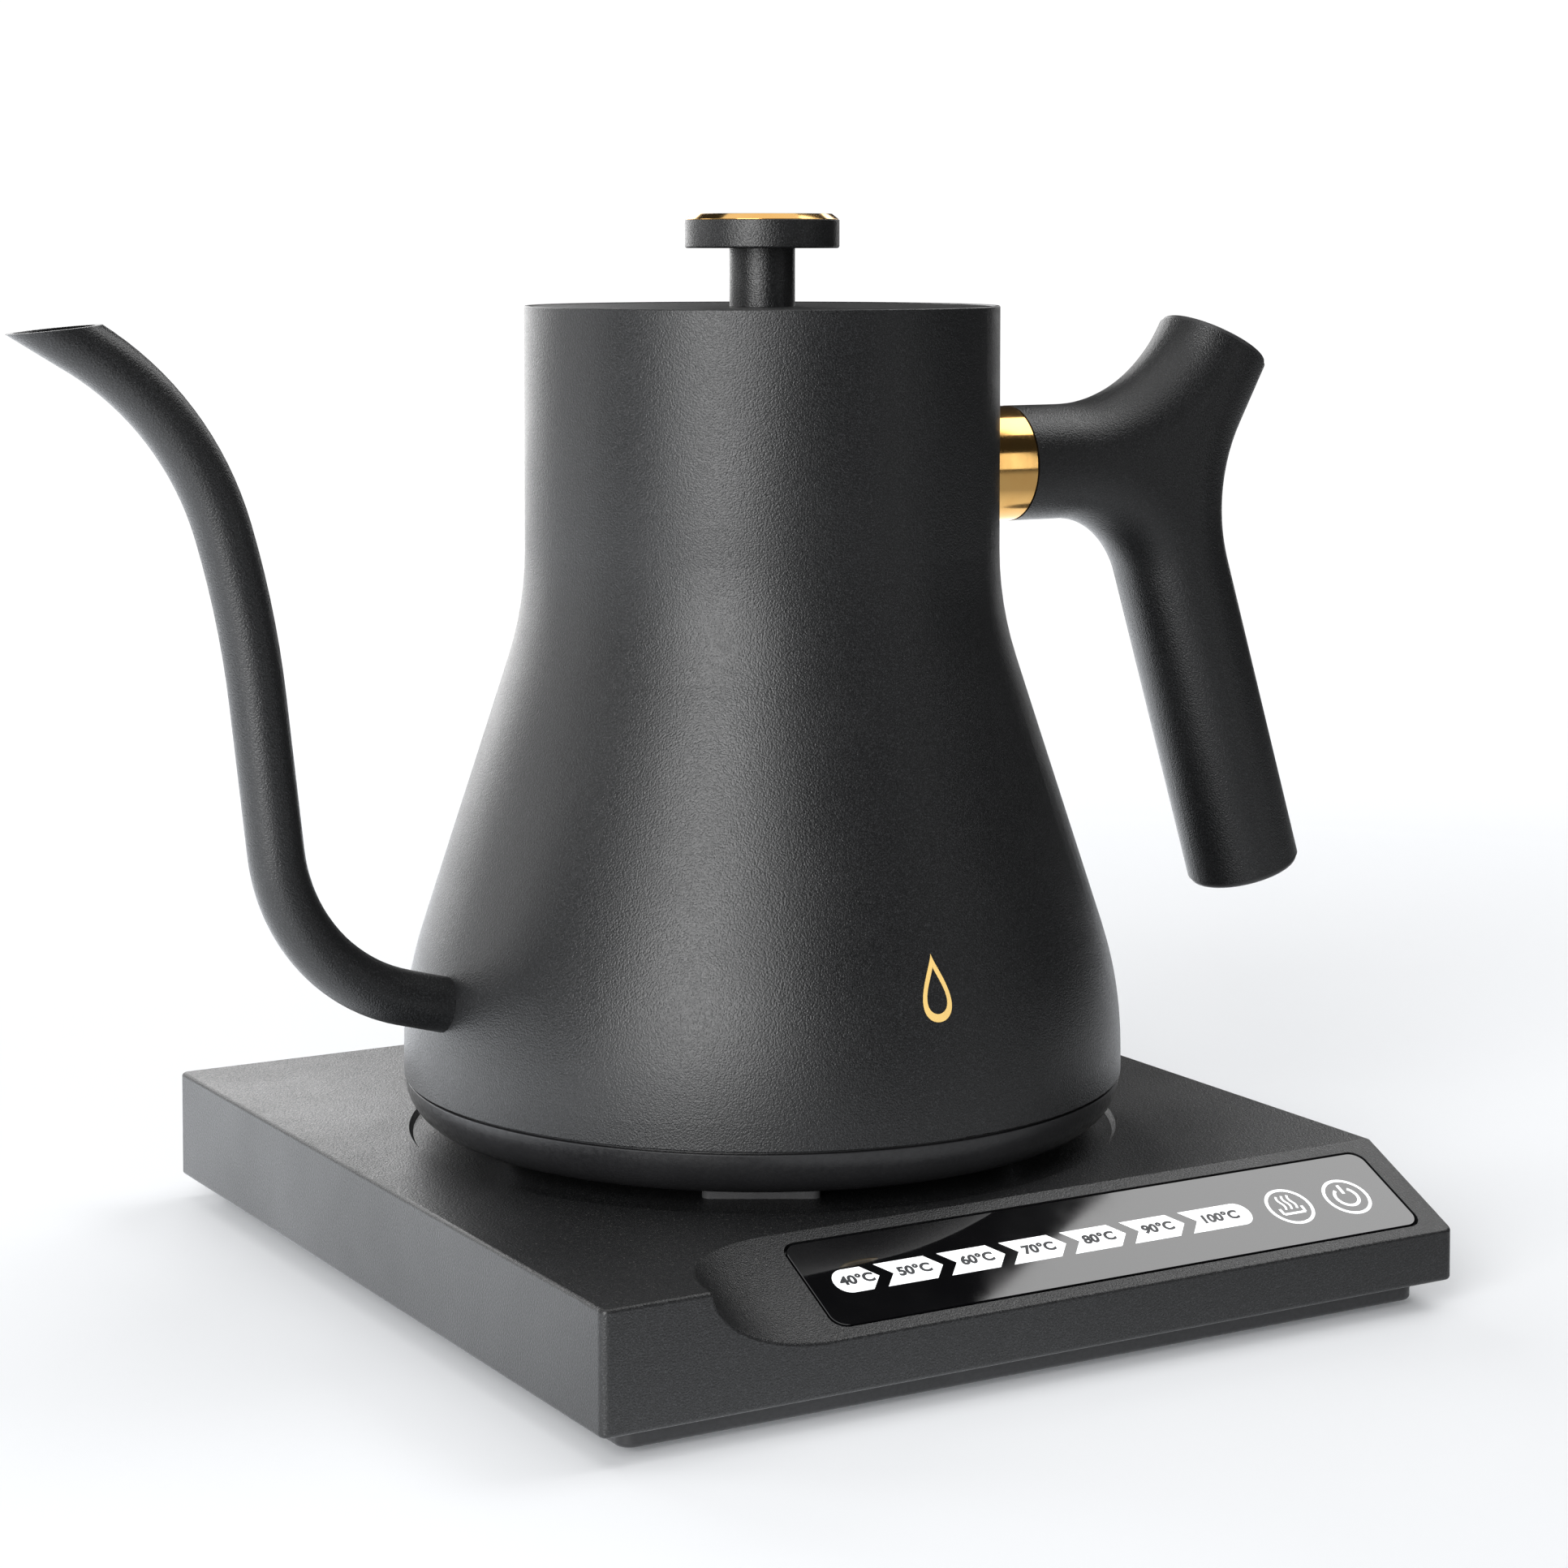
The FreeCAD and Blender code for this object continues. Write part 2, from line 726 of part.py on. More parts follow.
def handle_corners():
    """The side view of the grip: a stub that meets a leaning grip and an upturned horn."""
    lean_x, lean_z = sine(D.grip_lean), cosine(D.grip_lean)
    horn_x, horn_z = sine(D.horn_lean), cosine(D.horn_lean)
    radius = D.grip_radius
    stub_top = D.handle_height + radius - 0.1
    stub_bottom = D.handle_height - radius + 0.1
    tip_left = (D.horn_x - radius * horn_z, D.horn_height + radius * horn_x)
    tip_right = (D.horn_x + radius * horn_z, D.horn_height - radius * horn_x)
    end_right = (D.grip_end_x + radius * lean_z, D.grip_end_height + radius * lean_x)
    end_left = (D.grip_end_x - radius * lean_z, D.grip_end_height - radius * lean_x)
    upper = (tip_left[0] - (tip_left[1] - stub_top) * horn_x / horn_z, stub_top, D.crotch_above)
    lower = (end_left[0] - (stub_bottom - end_left[1]) * lean_x / lean_z, stub_bottom, D.crotch_below)
    lean_slope = lean_x / lean_z
    horn_slope = horn_x / horn_z
    rise = (end_right[0] - tip_right[0] + end_right[1] * lean_slope + tip_right[1] * horn_slope)
    back_height = rise / (lean_slope + horn_slope)
    back = (end_right[0] - (back_height - end_right[1]) * lean_slope, back_height,
            D.grip_back_round)
    return [(D.ferrule_end, stub_top), upper, tip_left, tip_right, back, end_right, end_left, lower,
            (D.ferrule_end, stub_bottom)]


def make_grip():
    """The grip: the side view padded across and rounded all along, then bored for stud and plug."""
    body = new_body("handle_grip")
    sketch = new_sketch(body, "outline", "XZ_Plane")
    outline(sketch, handle_corners())
    plate = pad(body, "plate", sketch, D.grip_radius * 2, centred=True)
    ends = [flat(end) for end in ((D.ferrule_end, D.handle_height), (D.horn_x, D.horn_height),
                                  (D.grip_end_x, D.grip_end_height))]
    edges = []
    for index, edge in enumerate(plate.Shape.Edges):
        middle = edge.valueAt((edge.FirstParameter + edge.LastParameter) / 2)
        on_side = edge.BoundBox.YLength < 1e-6
        at_end = any(end.distanceToPoint(Vector(middle.x, middle.z, 0)) < 0.01 for end in ends)
        if on_side and not at_end:
            edges.append("Edge%d" % (index + 1))
    fillet(body, "rounding", plate, edges, D.grip_round)
    bore = new_sketch(body, "stud_bore_outline", "YZ_Plane", offset=D.ferrule_end)
    circle(bore, 0, D.handle_height, D.stud_radius)
    pocket(body, "stud_bore", bore, D.stud_end - D.ferrule_end, upward=True)
    drill(body, "set_screw_hole", [(D.set_screw_x, size(0))], D.set_screw_radius,
          D.handle_height - D.grip_radius - 1, D.handle_height - D.stud_radius)


def slanted_disc(label, centre_x, centre_z, lean, thick, edge):
    """A disc across an end of the grip, its face turned by lean about the Y axis."""
    body = new_body(label)
    radius = D.grip_radius - D.cap_gap
    sketch = new_sketch(body, "outline", "XZ_Plane")
    outline(sketch, [(size(0), size(0)), (radius, size(0)), (radius, thick, edge), (size(0), thick)])
    revolve(body, "turn", sketch)
    body.Placement = Placement(Vector(0, 0, 0), Rotation(Vector(0, 1, 0), 1))
    bind(body, "Placement.Base.x", centre_x)
    bind(body, "Placement.Base.z", centre_z)
    bind(body, "Placement.Rotation.Angle", lean)
    doc.recompute()


def make_handle():
    """Everything between the vessel's neck and the hand."""
    stud = new_body("handle_stud")
    sketch = new_sketch(stud, "outline", "YZ_Plane", offset=D.neck_radius - 4)
    circle(sketch, 0, D.handle_height, D.stud_radius)
    pad(stud, "rod", sketch, D.stud_end - D.neck_radius + 4)
    trim_to_neck(stud)
    ferrule = new_body("handle_ferrule")
    sketch = new_sketch(ferrule, "outline", "YZ_Plane", offset=D.neck_radius - 4)
    circle(sketch, 0, D.handle_height, D.ferrule_radius)
    circle(sketch, 0, D.handle_height, D.stud_radius)
    pad(ferrule, "tube", sketch, D.ferrule_end - D.neck_radius + 4)
    trim_to_neck(ferrule)
    make_grip()
    screw_top = D.handle_height - D.stud_radius
    post_group("grip_set_screw", [(D.set_screw_x, size(0))], D.set_screw_radius,
               screw_top - D.set_screw_length, screw_top)
    slanted_disc("horn_cap", D.horn_x, D.horn_height, D.horn_lean, D.horn_cap_thick, D.horn_cap_round)
    slanted_disc("grip_end_cap", D.grip_end_x, D.grip_end_height, 180 - D.grip_lean,
                 D.end_cap_thick, D.end_cap_round)


def trim_to_neck(body):
    """Cuts a piece to the neck's round wall, so that it sits on it all round."""
    sketch = new_sketch(body, "neck_outline", "XZ_Plane")
    outline(sketch, ring_corners(size(0), D.neck_radius, D.handle_height - D.grip_radius * 2,
                                  D.handle_height + D.grip_radius * 2))
    groove(body, "neck", sketch)


# ---------------------------------------------------------------- lid

def make_lid():
    """The flush lid with its skirt, gasket and knob."""
    plate = round_piece("lid_plate", [
        (size(0), D.lid_bottom),
        (D.lid_radius, D.lid_bottom),
        (D.lid_radius, D.lid_top, D.metal_edge),
        (size(0), D.lid_top),
    ])
    vents = ring_places(D.vent_circle, (80, 90, 100))
    drill(plate, "vents", vents, D.vent_radius, D.lid_bottom - 1, D.lid_top + 1)
    drill(plate, "screw_hole", [(size(0), size(0))], D.lid_screw_radius, D.lid_bottom - 1, D.lid_top + 1)
    round_piece("lid_gasket", ring_corners(D.ledge_radius + 0.4, D.lid_radius - 0.2, D.ledge_height,
                                           D.lid_bottom))
    inner = D.skirt_radius - D.skirt_wall
    lip = D.skirt_radius - D.skirt_lip
    round_piece("lid_skirt", [
        (lip, D.lid_bottom),
        (lip, D.lid_bottom - D.skirt_wall),
        (inner, D.lid_bottom - D.skirt_wall),
        (inner, D.skirt_bottom),
        (D.skirt_radius, D.skirt_bottom),
        (D.skirt_radius, D.lid_bottom),
    ])
    round_piece("knob_stem", ring_corners(D.lid_screw_radius, D.stem_radius, D.lid_top, D.knob_bottom))
    disc = round_piece("knob_disc", [
        (size(0), D.knob_bottom),
        (D.knob_radius, D.knob_bottom, size(0.5)),
        (D.knob_radius, D.cap_bottom),
        (size(0), D.cap_bottom),
    ])
    screw_top = D.cap_bottom - 1.5
    drill(disc, "thread", [(size(0), size(0))], D.lid_screw_radius, D.knob_bottom, screw_top)
    round_piece("knob_gold_cap", [
        (size(0), D.cap_bottom),
        (D.knob_radius, D.cap_bottom),
        (D.knob_radius - D.cap_chamfer, D.knob_top),
        (size(0), D.knob_top),
    ])
    washer_bottom = D.lid_bottom - D.washer_thick
    head_height = D.screw_head_height * 1.5
    round_piece("lid_washer",
                ring_corners(D.lid_screw_radius, D.washer_radius, washer_bottom, D.lid_bottom))
    screw_group("lid_screw", [(size(0), size(0))], washer_bottom - head_height, head_height, screw_top,
                D.lid_screw_radius, D.lid_screw_head)


# ---------------------------------------------------------------- base

wall = D.casing_wall
panel_drop = D.panel_run * tangent(D.panel_angle)
panel_foot = D.casing_top - panel_drop
panel_length = D.panel_run / cosine(D.panel_angle)
cavity_left = -D.base_left + wall
cavity_right = D.base_right - wall
cavity_front = -D.base_front + wall
cavity_back = D.base_back - wall
cavity_top = D.casing_top - wall
plinth_deck = D.plinth_bottom + D.plinth_floor
base_middle = (D.base_right - D.base_left) / 2
boss_places = [
    (x, y)
    for x in (-D.base_left + D.screw_inset, D.base_right - D.screw_inset)
    for y in (-D.base_front + D.front_screw_inset, D.base_back - D.screw_inset)
]
board_bottom = plinth_deck + D.board_gap
board_top = board_bottom + D.board_thick
standoff_places = [
    (x, y)
    for x in (D.board_left + D.standoff_inset_x, D.board_right - D.standoff_inset_x)
    for y in (D.board_front + D.standoff_inset_y, D.board_back - D.standoff_inset_y)
]
glass_sides = (
    D.glass_left - D.base_left,
    panel_length - D.glass_bottom,
    D.glass_right - D.base_left,
    panel_length - D.glass_top,
)


def panel_sheet(label, sides, thick, under=0, corner=None):
    """A flat sheet laid along the slanted panel: x along the panel, y up its slope."""
    body = new_body(label)
    sketch = new_sketch(body, "outline", "XY_Plane", offset=-size(under))
    rectangle(sketch, *sides, corner)
    pad(body, "sheet", sketch, thick, downward=True)
    body.Placement = Placement(Vector(0, 0, 0), Rotation(Vector(1, 0, 0), 1))
    bind(body, "Placement.Base.y", -D.base_front)
    bind(body, "Placement.Base.z", panel_foot)
    bind(body, "Placement.Rotation.Angle", D.panel_angle)
    doc.recompute()


def inset(sides, amount):
    """Moves a rectangle's four sides in."""
    left, bottom, right, top = sides
    return left + amount, bottom + amount, right - amount, top - amount


def make_casing():
    """The base's outer shell, with its slanted panel, seat, throat and inside space."""
    body = new_body("base_casing")
    sketch = new_sketch(body, "outline", "XY_Plane", offset=D.casing_bottom)
    rectangle(sketch, -D.base_left, -D.base_front, D.base_right, D.base_back, D.base_corner)
    block_pad = pad(body, "block", sketch, D.casing_top - D.casing_bottom)
    rim = []
    for index, edge in enumerate(block_pad.Shape.Edges):
        if edge.BoundBox.ZLength < 1e-6:
            rim.append("Edge%d" % (index + 1))
    fillet(body, "edges", block_pad, rim, D.edge_round)
    scoop = cut_scoop(body)
    foot = []
    for index, edge in enumerate(scoop.Shape.Edges):
        on_front = abs(edge.BoundBox.YMin + float(D.base_front)) < 1e-3
        if on_front and edge.BoundBox.YLength < 1e-3 and abs(edge.BoundBox.ZMin - float(panel_foot)) < 0.01:
            foot.append("Edge%d" % (index + 1))
    fillet(body, "panel_edge", scoop, foot, D.panel_round)
    seat = new_sketch(body, "seat_outline", "XZ_Plane")
    seat_floor = D.casing_top - D.seat_depth
    outline(seat, [
        (size(0), seat_floor),
        (D.seat_radius - D.seat_bevel, seat_floor),
        (D.seat_radius, D.casing_top),
        (D.seat_radius, D.casing_top + 2),
        (size(0), D.casing_top + 2),
    ])
    groove(body, "seat", seat)
    slope = tangent(D.panel_angle)
    slant_drop = wall / cosine(D.panel_angle)
    cavity = new_sketch(body, "cavity_outline", "YZ_Plane", offset=cavity_right)
    outline(cavity, [
        (cavity_front, D.casing_bottom - 1),
        (cavity_front, panel_foot + wall * slope - slant_drop),
        (-D.base_front + D.panel_run + (slant_drop - wall) / slope, cavity_top),
        (cavity_back, cavity_top),
        (cavity_back, D.casing_bottom - 1),
    ])
    pocket(body, "cavity", cavity, cavity_right - cavity_left)
    add_posts(body, "bosses", boss_places, D.boss_radius, plinth_deck, cavity_top)
    drill(body, "boss_threads", boss_places, D.screw_radius, plinth_deck - 1, D.casing_bottom + 10)
    drill(body, "throat", [(size(0), size(0))], D.throat_radius, cavity_top - 1, D.casing_top + 1)
    for name, sides, corner, depth in (
            ("glass_seat", inset(glass_sides, -D.glass_gap), D.glass_corner, D.glass_thick),
            ("window", inset(glass_sides, D.glass_ledge), size(1.5), wall + 1)):
        cut = new_sketch(body, name + "_outline", "XY_Plane", offset=panel_foot,
                         shift=(size(0), -D.base_front), tilt=D.panel_angle)
        rectangle(cut, *sides, corner)
        pocket(body, name, cut, depth)
    hole = new_sketch(body, "cord_hole_outline", "XZ_Plane", offset=-D.base_back)
    circle(hole, base_middle, D.gland_height, D.gland_radius)
    pocket(body, "cord_hole", hole, wall + 1, upward=True)


def cut_scoop(body):
    """Cuts the slanted panel, with the quarter-ellipse scoop at its left end, along the slope."""
    sketch = new_sketch(body, "scoop_outline", "XZ_Plane", offset=D.base_front, shift=(size(0), panel_foot),
                        tilt=D.panel_angle)
    depth = panel_drop * cosine(D.panel_angle)
    start = D.scoop_start - D.base_left
    centre = start + D.scoop_reach
    far = D.base_right + 10
    high = depth + 20
    points = [(start, depth), (start, high), (far, high), (far, size(0)), (centre, size(0))]
    lines = []
    for first, second in zip(points, points[1:]):
        lines.append(sketch.addGeometry(Part.LineSegment(flat(first), flat(second)), False))
    oval = Part.Ellipse(Vector(centre.value, depth.value, 0), D.scoop_reach.value, depth.value)
    arc = sketch.addGeometry(Part.ArcOfEllipse(oval, math.pi, 1.5 * math.pi), False)
    fix_point(sketch, lines[0], 1, *points[0])
    for line, point in zip(lines, points[1:]):
        fix_point(sketch, line, 2, *point)
    for first, second in zip(lines, lines[1:]):
        sketch.addConstraint(Sketcher.Constraint("Coincident", first, 2, second, 1))
    sketch.addConstraint(Sketcher.Constraint("Coincident", arc, 1, lines[0], 1))
    sketch.addConstraint(Sketcher.Constraint("Coincident", arc, 2, lines[-1], 2))
    fix_point(sketch, arc, 3, centre, depth)
    return pocket(body, "scoop", sketch, D.base_front, centred=True)


def make_plinth():
    """The recessed bottom of the base: a tray whose flange fits inside the casing."""
    body = new_body("base_plinth")
    lower = (
        D.plinth_inset_x - D.base_left,
        D.plinth_inset_y - D.base_front,
        D.base_right - D.plinth_inset_x,
        D.base_back - D.plinth_inset_y,
    )
    flange_top = D.casing_bottom + D.flange_height
    sketch = new_sketch(body, "tray_outline", "XY_Plane", offset=D.plinth_bottom)
    rectangle(sketch, *lower, D.plinth_corner)
    tray = pad(body, "tray", sketch, flange_top - D.plinth_bottom)
    under = []
    for index, edge in enumerate(tray.Shape.Edges):
        if edge.BoundBox.ZMax < float(D.plinth_bottom) + 1e-6:
            under.append("Edge%d" % (index + 1))
    fillet(body, "edges", tray, under, D.plinth_round)
    sketch = new_sketch(body, "flange_outline", "XY_Plane", offset=D.casing_bottom)
    rectangle(sketch, cavity_left, cavity_front, cavity_right, cavity_back)
    pad(body, "flange", sketch, D.flange_height)
    sketch = new_sketch(body, "hollow_outline", "XY_Plane", offset=flange_top)
    rectangle(sketch, *inset(lower, D.casing_wall), D.plinth_corner)
    pocket(body, "hollow", sketch, flange_top - plinth_deck)
    add_posts(body, "standoffs", standoff_places, D.standoff_radius, plinth_deck, board_bottom)
    drill(body, "screw_holes", boss_places, D.screw_clearance, D.plinth_bottom - 1, plinth_deck + 1)
    drill(body, "head_seats", boss_places, D.screw_head + 0.3, D.plinth_bottom - 1, D.plinth_bottom + 1.7)
    ring_top = D.plinth_bottom + D.foot_ring_seat
    seat = new_sketch(body, "foot_ring_seat_outline", "XZ_Plane")
    outline(seat, ring_corners(D.foot_ring_inner, D.foot_ring_outer, D.plinth_bottom - 1, ring_top))
    groove(body, "foot_ring_seat", seat)
    round_piece("base_foot_ring", ring_corners(D.foot_ring_inner, D.foot_ring_outer, size(0), ring_top))
    screw_group("base_screws", boss_places, D.plinth_bottom + 0.1, D.screw_head_height,
                D.casing_bottom + 8, D.screw_radius, D.screw_head)


def make_panel():
    """The black glass, the light guide under it and the display board."""
    panel_sheet("control_glass", glass_sides, D.glass_thick, corner=D.glass_corner)
    panel_sheet("light_guide", inset(glass_sides, D.glass_ledge + 0.3), D.guide_thick, D.glass_thick)
    panel_sheet("display_board", inset(glass_sides, 0.5), D.board_thick, D.glass_thick + D.guide_thick)


def block_on_board(label, left, front, length, width, height):
    """A plain block that stands on the power board."""
    block(label, (left, front, board_top), (left + length, front + width, board_top + height))


def make_base_electrics():
    """The power board in the rear of the base and what stands on it."""
    block("power_board", (D.board_left, D.board_front, board_bottom),
          (D.board_right, D.board_back, board_top))
    block_on_board("relay", D.relay_x, D.relay_y, D.relay_length, D.relay_width, D.relay_height)
    block_on_board("terminal_block", D.terminal_x, D.terminal_y, D.terminal_length, D.terminal_width,
                   D.terminal_height)
    transformer = new_body("transformer")
    sketch = new_sketch(transformer, "core_outline", "XY_Plane", offset=board_top)
    core_back = D.core_y + D.core_width
    rectangle(sketch, D.core_x, D.core_y, D.core_x + D.core_length, core_back)
    pad(transformer, "core", sketch, D.core_height)
    sketch = new_sketch(transformer, "coil_outline", "YZ_Plane", offset=D.coil_x)
    rectangle(sketch, D.core_y - D.coil_overhang, board_top, core_back + D.coil_overhang,
              board_top + D.coil_height, size(2))
    pad(transformer, "coil", sketch, D.coil_length)
    post_group("capacitor", [(D.capacitor_x, D.capacitor_y)], D.capacitor_radius, board_top,
               board_top + D.capacitor_height)
    buzzer = new_body("buzzer")
    place = [(D.buzzer_x, D.buzzer_y)]
    can_top = board_top + D.buzzer_height
    add_posts(buzzer, "can", place, D.buzzer_radius, board_top, can_top)
    drill(buzzer, "sound_hole", place, D.buzzer_hole, board_top + D.buzzer_height / 2, can_top + 1)


def make_base_connector():
    """The male connector in the base's throat, its pins, and the loose shroud round it."""
    top = D.spigot_top
    bottom = D.casing_bottom + 10
    groove_floor = top - D.spigot_groove
    groove_outer = D.spigot_radius - D.spigot_wall
    barrel = D.throat_radius - 1
    flange_bottom = cavity_top - 2
    round_piece("base_connector", [
        (D.spigot_bore, bottom),
        (barrel, bottom),
        (barrel, flange_bottom),
        (D.spigot_flange, flange_bottom),
        (D.spigot_flange, cavity_top),
        (D.spigot_radius, cavity_top),
        (D.spigot_radius, top, size(0.8)),
        (groove_outer, top),
        (groove_outer, groove_floor),
        (D.spigot_core, groove_floor),
        (D.spigot_core, top),
        (D.spigot_bore, top),
    ])
    pin_bottom = bottom + 2
    pins = round_piece("connector_pins", ring_corners(size(0), D.pin_radius, pin_bottom, top - 1))
    sketch = new_sketch(pins, "collar_outline", "XZ_Plane")
    outline(sketch, ring_corners(size(0), D.spigot_bore, pin_bottom, pin_bottom + 3))
    revolve(pins, "collar", sketch)
    sketch = new_sketch(pins, "leaf_outline", "XZ_Plane")
    outline(sketch, ring_corners(groove_outer - D.leaf_thick, groove_outer, groove_floor, top - 2))
    leaf = revolve(pins, "leaves", sketch, angle=D.leaf_angle)
    leaf.Midplane = True
    sleeve_inner = D.spigot_radius + D.shroud_gap
    sleeve_top = top - 3
    round_piece("contact_shroud", [
        (sleeve_inner, cavity_top),
        (D.shroud_radius, cavity_top),
        (D.shroud_radius, sleeve_top, size(0.6)),
        (sleeve_inner, sleeve_top),
    ])


def make_cord_gland():
    """The rubber bush in the back wall, bored for the mains cord and flush with the outside."""
    body = new_body("cord_gland")
    for name, plane_y, radius, length in (
            ("bush", D.base_back, D.gland_radius, wall),
            ("flange", cavity_back, D.gland_flange, D.gland_flange_thick)):
        sketch = new_sketch(body, name + "_outline", "XZ_Plane", offset=-plane_y)
        circle(sketch, base_middle, D.gland_height, radius)
        circle(sketch, base_middle, D.gland_height, D.gland_bore)
        pad(body, name, sketch, length)


# ---------------------------------------------------------------- build and write

make_kettle_body()
make_spout()
make_heater_plate()
make_heater()
make_bottom_cover()
make_kettle_feet()
make_kettle_connector()
make_handle()
make_lid()
make_casing()
make_plinth()
make_panel()
make_base_electrics()
make_base_connector()
make_cord_gland()
doc.recompute()

sub_parts += [item for item in doc.Objects if item.TypeId == "Part::Box"]
for item in doc.Objects:
    if "Invalid" in item.State or "Error" in item.State:
        raise RuntimeError("%s failed: %s" % (item.Label, item.State))
for part in sub_parts:
    if part.Shape.isNull() or not part.Shape.isValid() or not part.Shape.Solids:
        raise RuntimeError("%s has no valid solid" % part.Label)

os.makedirs("parts", exist_ok=True)
for part in sub_parts:
    part.Shape.exportStep("parts/%s.step" % part.Label)
    print("%-22s %9.1f mm3" % (part.Label, part.Shape.Volume))
print(len(sub_parts), "sub-parts")
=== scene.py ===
import json
import math

import bmesh
import bpy
from mathutils import Euler, Matrix, Vector
from mathutils.bvhtree import BVHTree


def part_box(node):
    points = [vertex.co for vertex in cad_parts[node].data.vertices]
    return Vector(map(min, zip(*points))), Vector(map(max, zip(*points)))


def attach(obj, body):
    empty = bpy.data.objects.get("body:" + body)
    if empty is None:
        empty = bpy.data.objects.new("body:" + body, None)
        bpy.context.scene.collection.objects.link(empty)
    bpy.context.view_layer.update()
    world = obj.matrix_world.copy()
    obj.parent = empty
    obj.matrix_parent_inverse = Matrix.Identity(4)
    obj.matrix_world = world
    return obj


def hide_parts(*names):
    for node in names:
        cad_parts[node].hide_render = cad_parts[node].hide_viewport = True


bl_info = {
    "name": "Gooseneck Kettle",
    "version": (1, 0, 0),
    "blender": (4, 5, 0),
    "location": "3D View > Sidebar > Kettle",
    "description": "Finishes, panel marks, fittings and studio of a gooseneck kettle on its heating base",
    "category": "Add Mesh",
}

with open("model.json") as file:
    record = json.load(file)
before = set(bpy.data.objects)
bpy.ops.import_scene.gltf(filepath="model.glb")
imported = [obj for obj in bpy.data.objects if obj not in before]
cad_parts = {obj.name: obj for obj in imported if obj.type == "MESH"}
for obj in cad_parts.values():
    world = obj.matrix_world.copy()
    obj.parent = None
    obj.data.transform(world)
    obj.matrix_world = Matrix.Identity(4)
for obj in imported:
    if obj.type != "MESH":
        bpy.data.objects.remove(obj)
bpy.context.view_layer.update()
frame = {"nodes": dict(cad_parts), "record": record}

MM = 0.001
ROUND_STEP = math.radians(6)
TURNED_SIDES = 160

# Where things lie, from the frame.
CASING_LOW, CASING_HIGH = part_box("base_casing")
GLASS_LOW, GLASS_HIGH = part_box("control_glass")
FERRULE_LOW, FERRULE_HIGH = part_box("handle_ferrule")
CAP_LOW, CAP_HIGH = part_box("knob_gold_cap")
DISC_LOW, DISC_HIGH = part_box("knob_disc")
STEM_LOW, STEM_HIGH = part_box("knob_stem")
BODY_LOW, BODY_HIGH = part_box("kettle_body")
HANDLE_HEIGHT = (FERRULE_LOW.z + FERRULE_HIGH.z) / 2

# The slanted panel at the front of the base.
PANEL_ANGLE = math.radians(25.9)
PANEL_RUN = 24.9 * MM
PANEL_FOOT = CASING_HIGH.z - PANEL_RUN * math.tan(PANEL_ANGLE)
PANEL_LENGTH = PANEL_RUN / math.cos(PANEL_ANGLE)


# ---------------------------------------------------------------- settings

def length(name, description, default, **limits):
    """A size that a user may change."""
    return bpy.props.FloatProperty(
        name=name, description=description, default=default, unit="LENGTH", subtype="DISTANCE", **limits)


def paint(name, description, default):
    """A colour that a user may change."""
    return bpy.props.FloatVectorProperty(
        name=name, description=description, default=default, subtype="COLOR", size=3, min=0, max=1)


def brightness(name, description, default):
    """The brightness of one light."""
    return bpy.props.FloatProperty(name=name, description=description, default=default, min=0)


class FinishSettings(bpy.types.PropertyGroup):
    coat_colour: paint("Coat", "Charcoal coat of the vessel, lid, grip and base", (0.004, 0.0042, 0.0046))
    fleck_colour: paint("Fleck", "Paler grains in the coat", (0.055, 0.057, 0.061))
    gold_colour: paint("Gold", "Ferrule, knob cap and emblem", (0.83, 0.50, 0.17))
    grain_size: length("Grain", "Size of one grain of the coat", 0.34 * MM, min=0.1 * MM, max=2 * MM)
    coat_relief: length("Relief", "Height of the coat's texture", 0.10 * MM, min=0, max=0.5 * MM)


class PanelSettings(bpy.types.PropertyGroup):
    tag_start: length("First tag", "From the base's left side to the first tag's round end", 51.7 * MM)
    tag_end: length("Last tag", "From the base's left side to the last tag's round end", 142.7 * MM)
    second_tag: length("Second tag", "From the base's left side to the second tag", 61.35 * MM)
    tag_pitch: length("Tag pitch", "From one tag to the next", 13.28 * MM)
    tag_height: length("Tag height", "Height of a tag up the slope", 5.95 * MM)
    tag_body: length("Tag body", "Length of a tag without its point", 10.35 * MM)
    tag_middle: length("Tag middle", "From the panel's top edge down to the middle of the tags", 14.22 * MM)
    tag_point: length("Arrow point", "How far a tag's point stands out", 2.65 * MM)
    digit_size: length("Digit size", "Letter size of the temperatures", 2.95 * MM)
    icon_radius: length("Icon radius", "Outer radius of the two ringed icons", 4.95 * MM)
    first_degrees: bpy.props.IntProperty(
        name="First temperature", description="Degrees on the first tag", default=40)
    degree_step: bpy.props.IntProperty(
        name="Step", description="Degrees from one tag to the next", default=10)
    tag_count: bpy.props.IntProperty(
        name="Tags", description="Number of tags", min=2, max=9, default=7)


class FittingSettings(bpy.types.PropertyGroup):
    edge_round: length("Edge round", "Small rounding on turned edges", 0.35 * MM)
    emblem_height: length("Emblem height", "Height of the plain drop on the belly", 12.0 * MM)
    emblem_level: length("Emblem level", "Height of the drop's middle above the table", 66.0 * MM)
    screw_turn_seed: bpy.props.IntProperty(
        name="Screw seed", description="Fixes how far each screw's slot is turned", default=7)


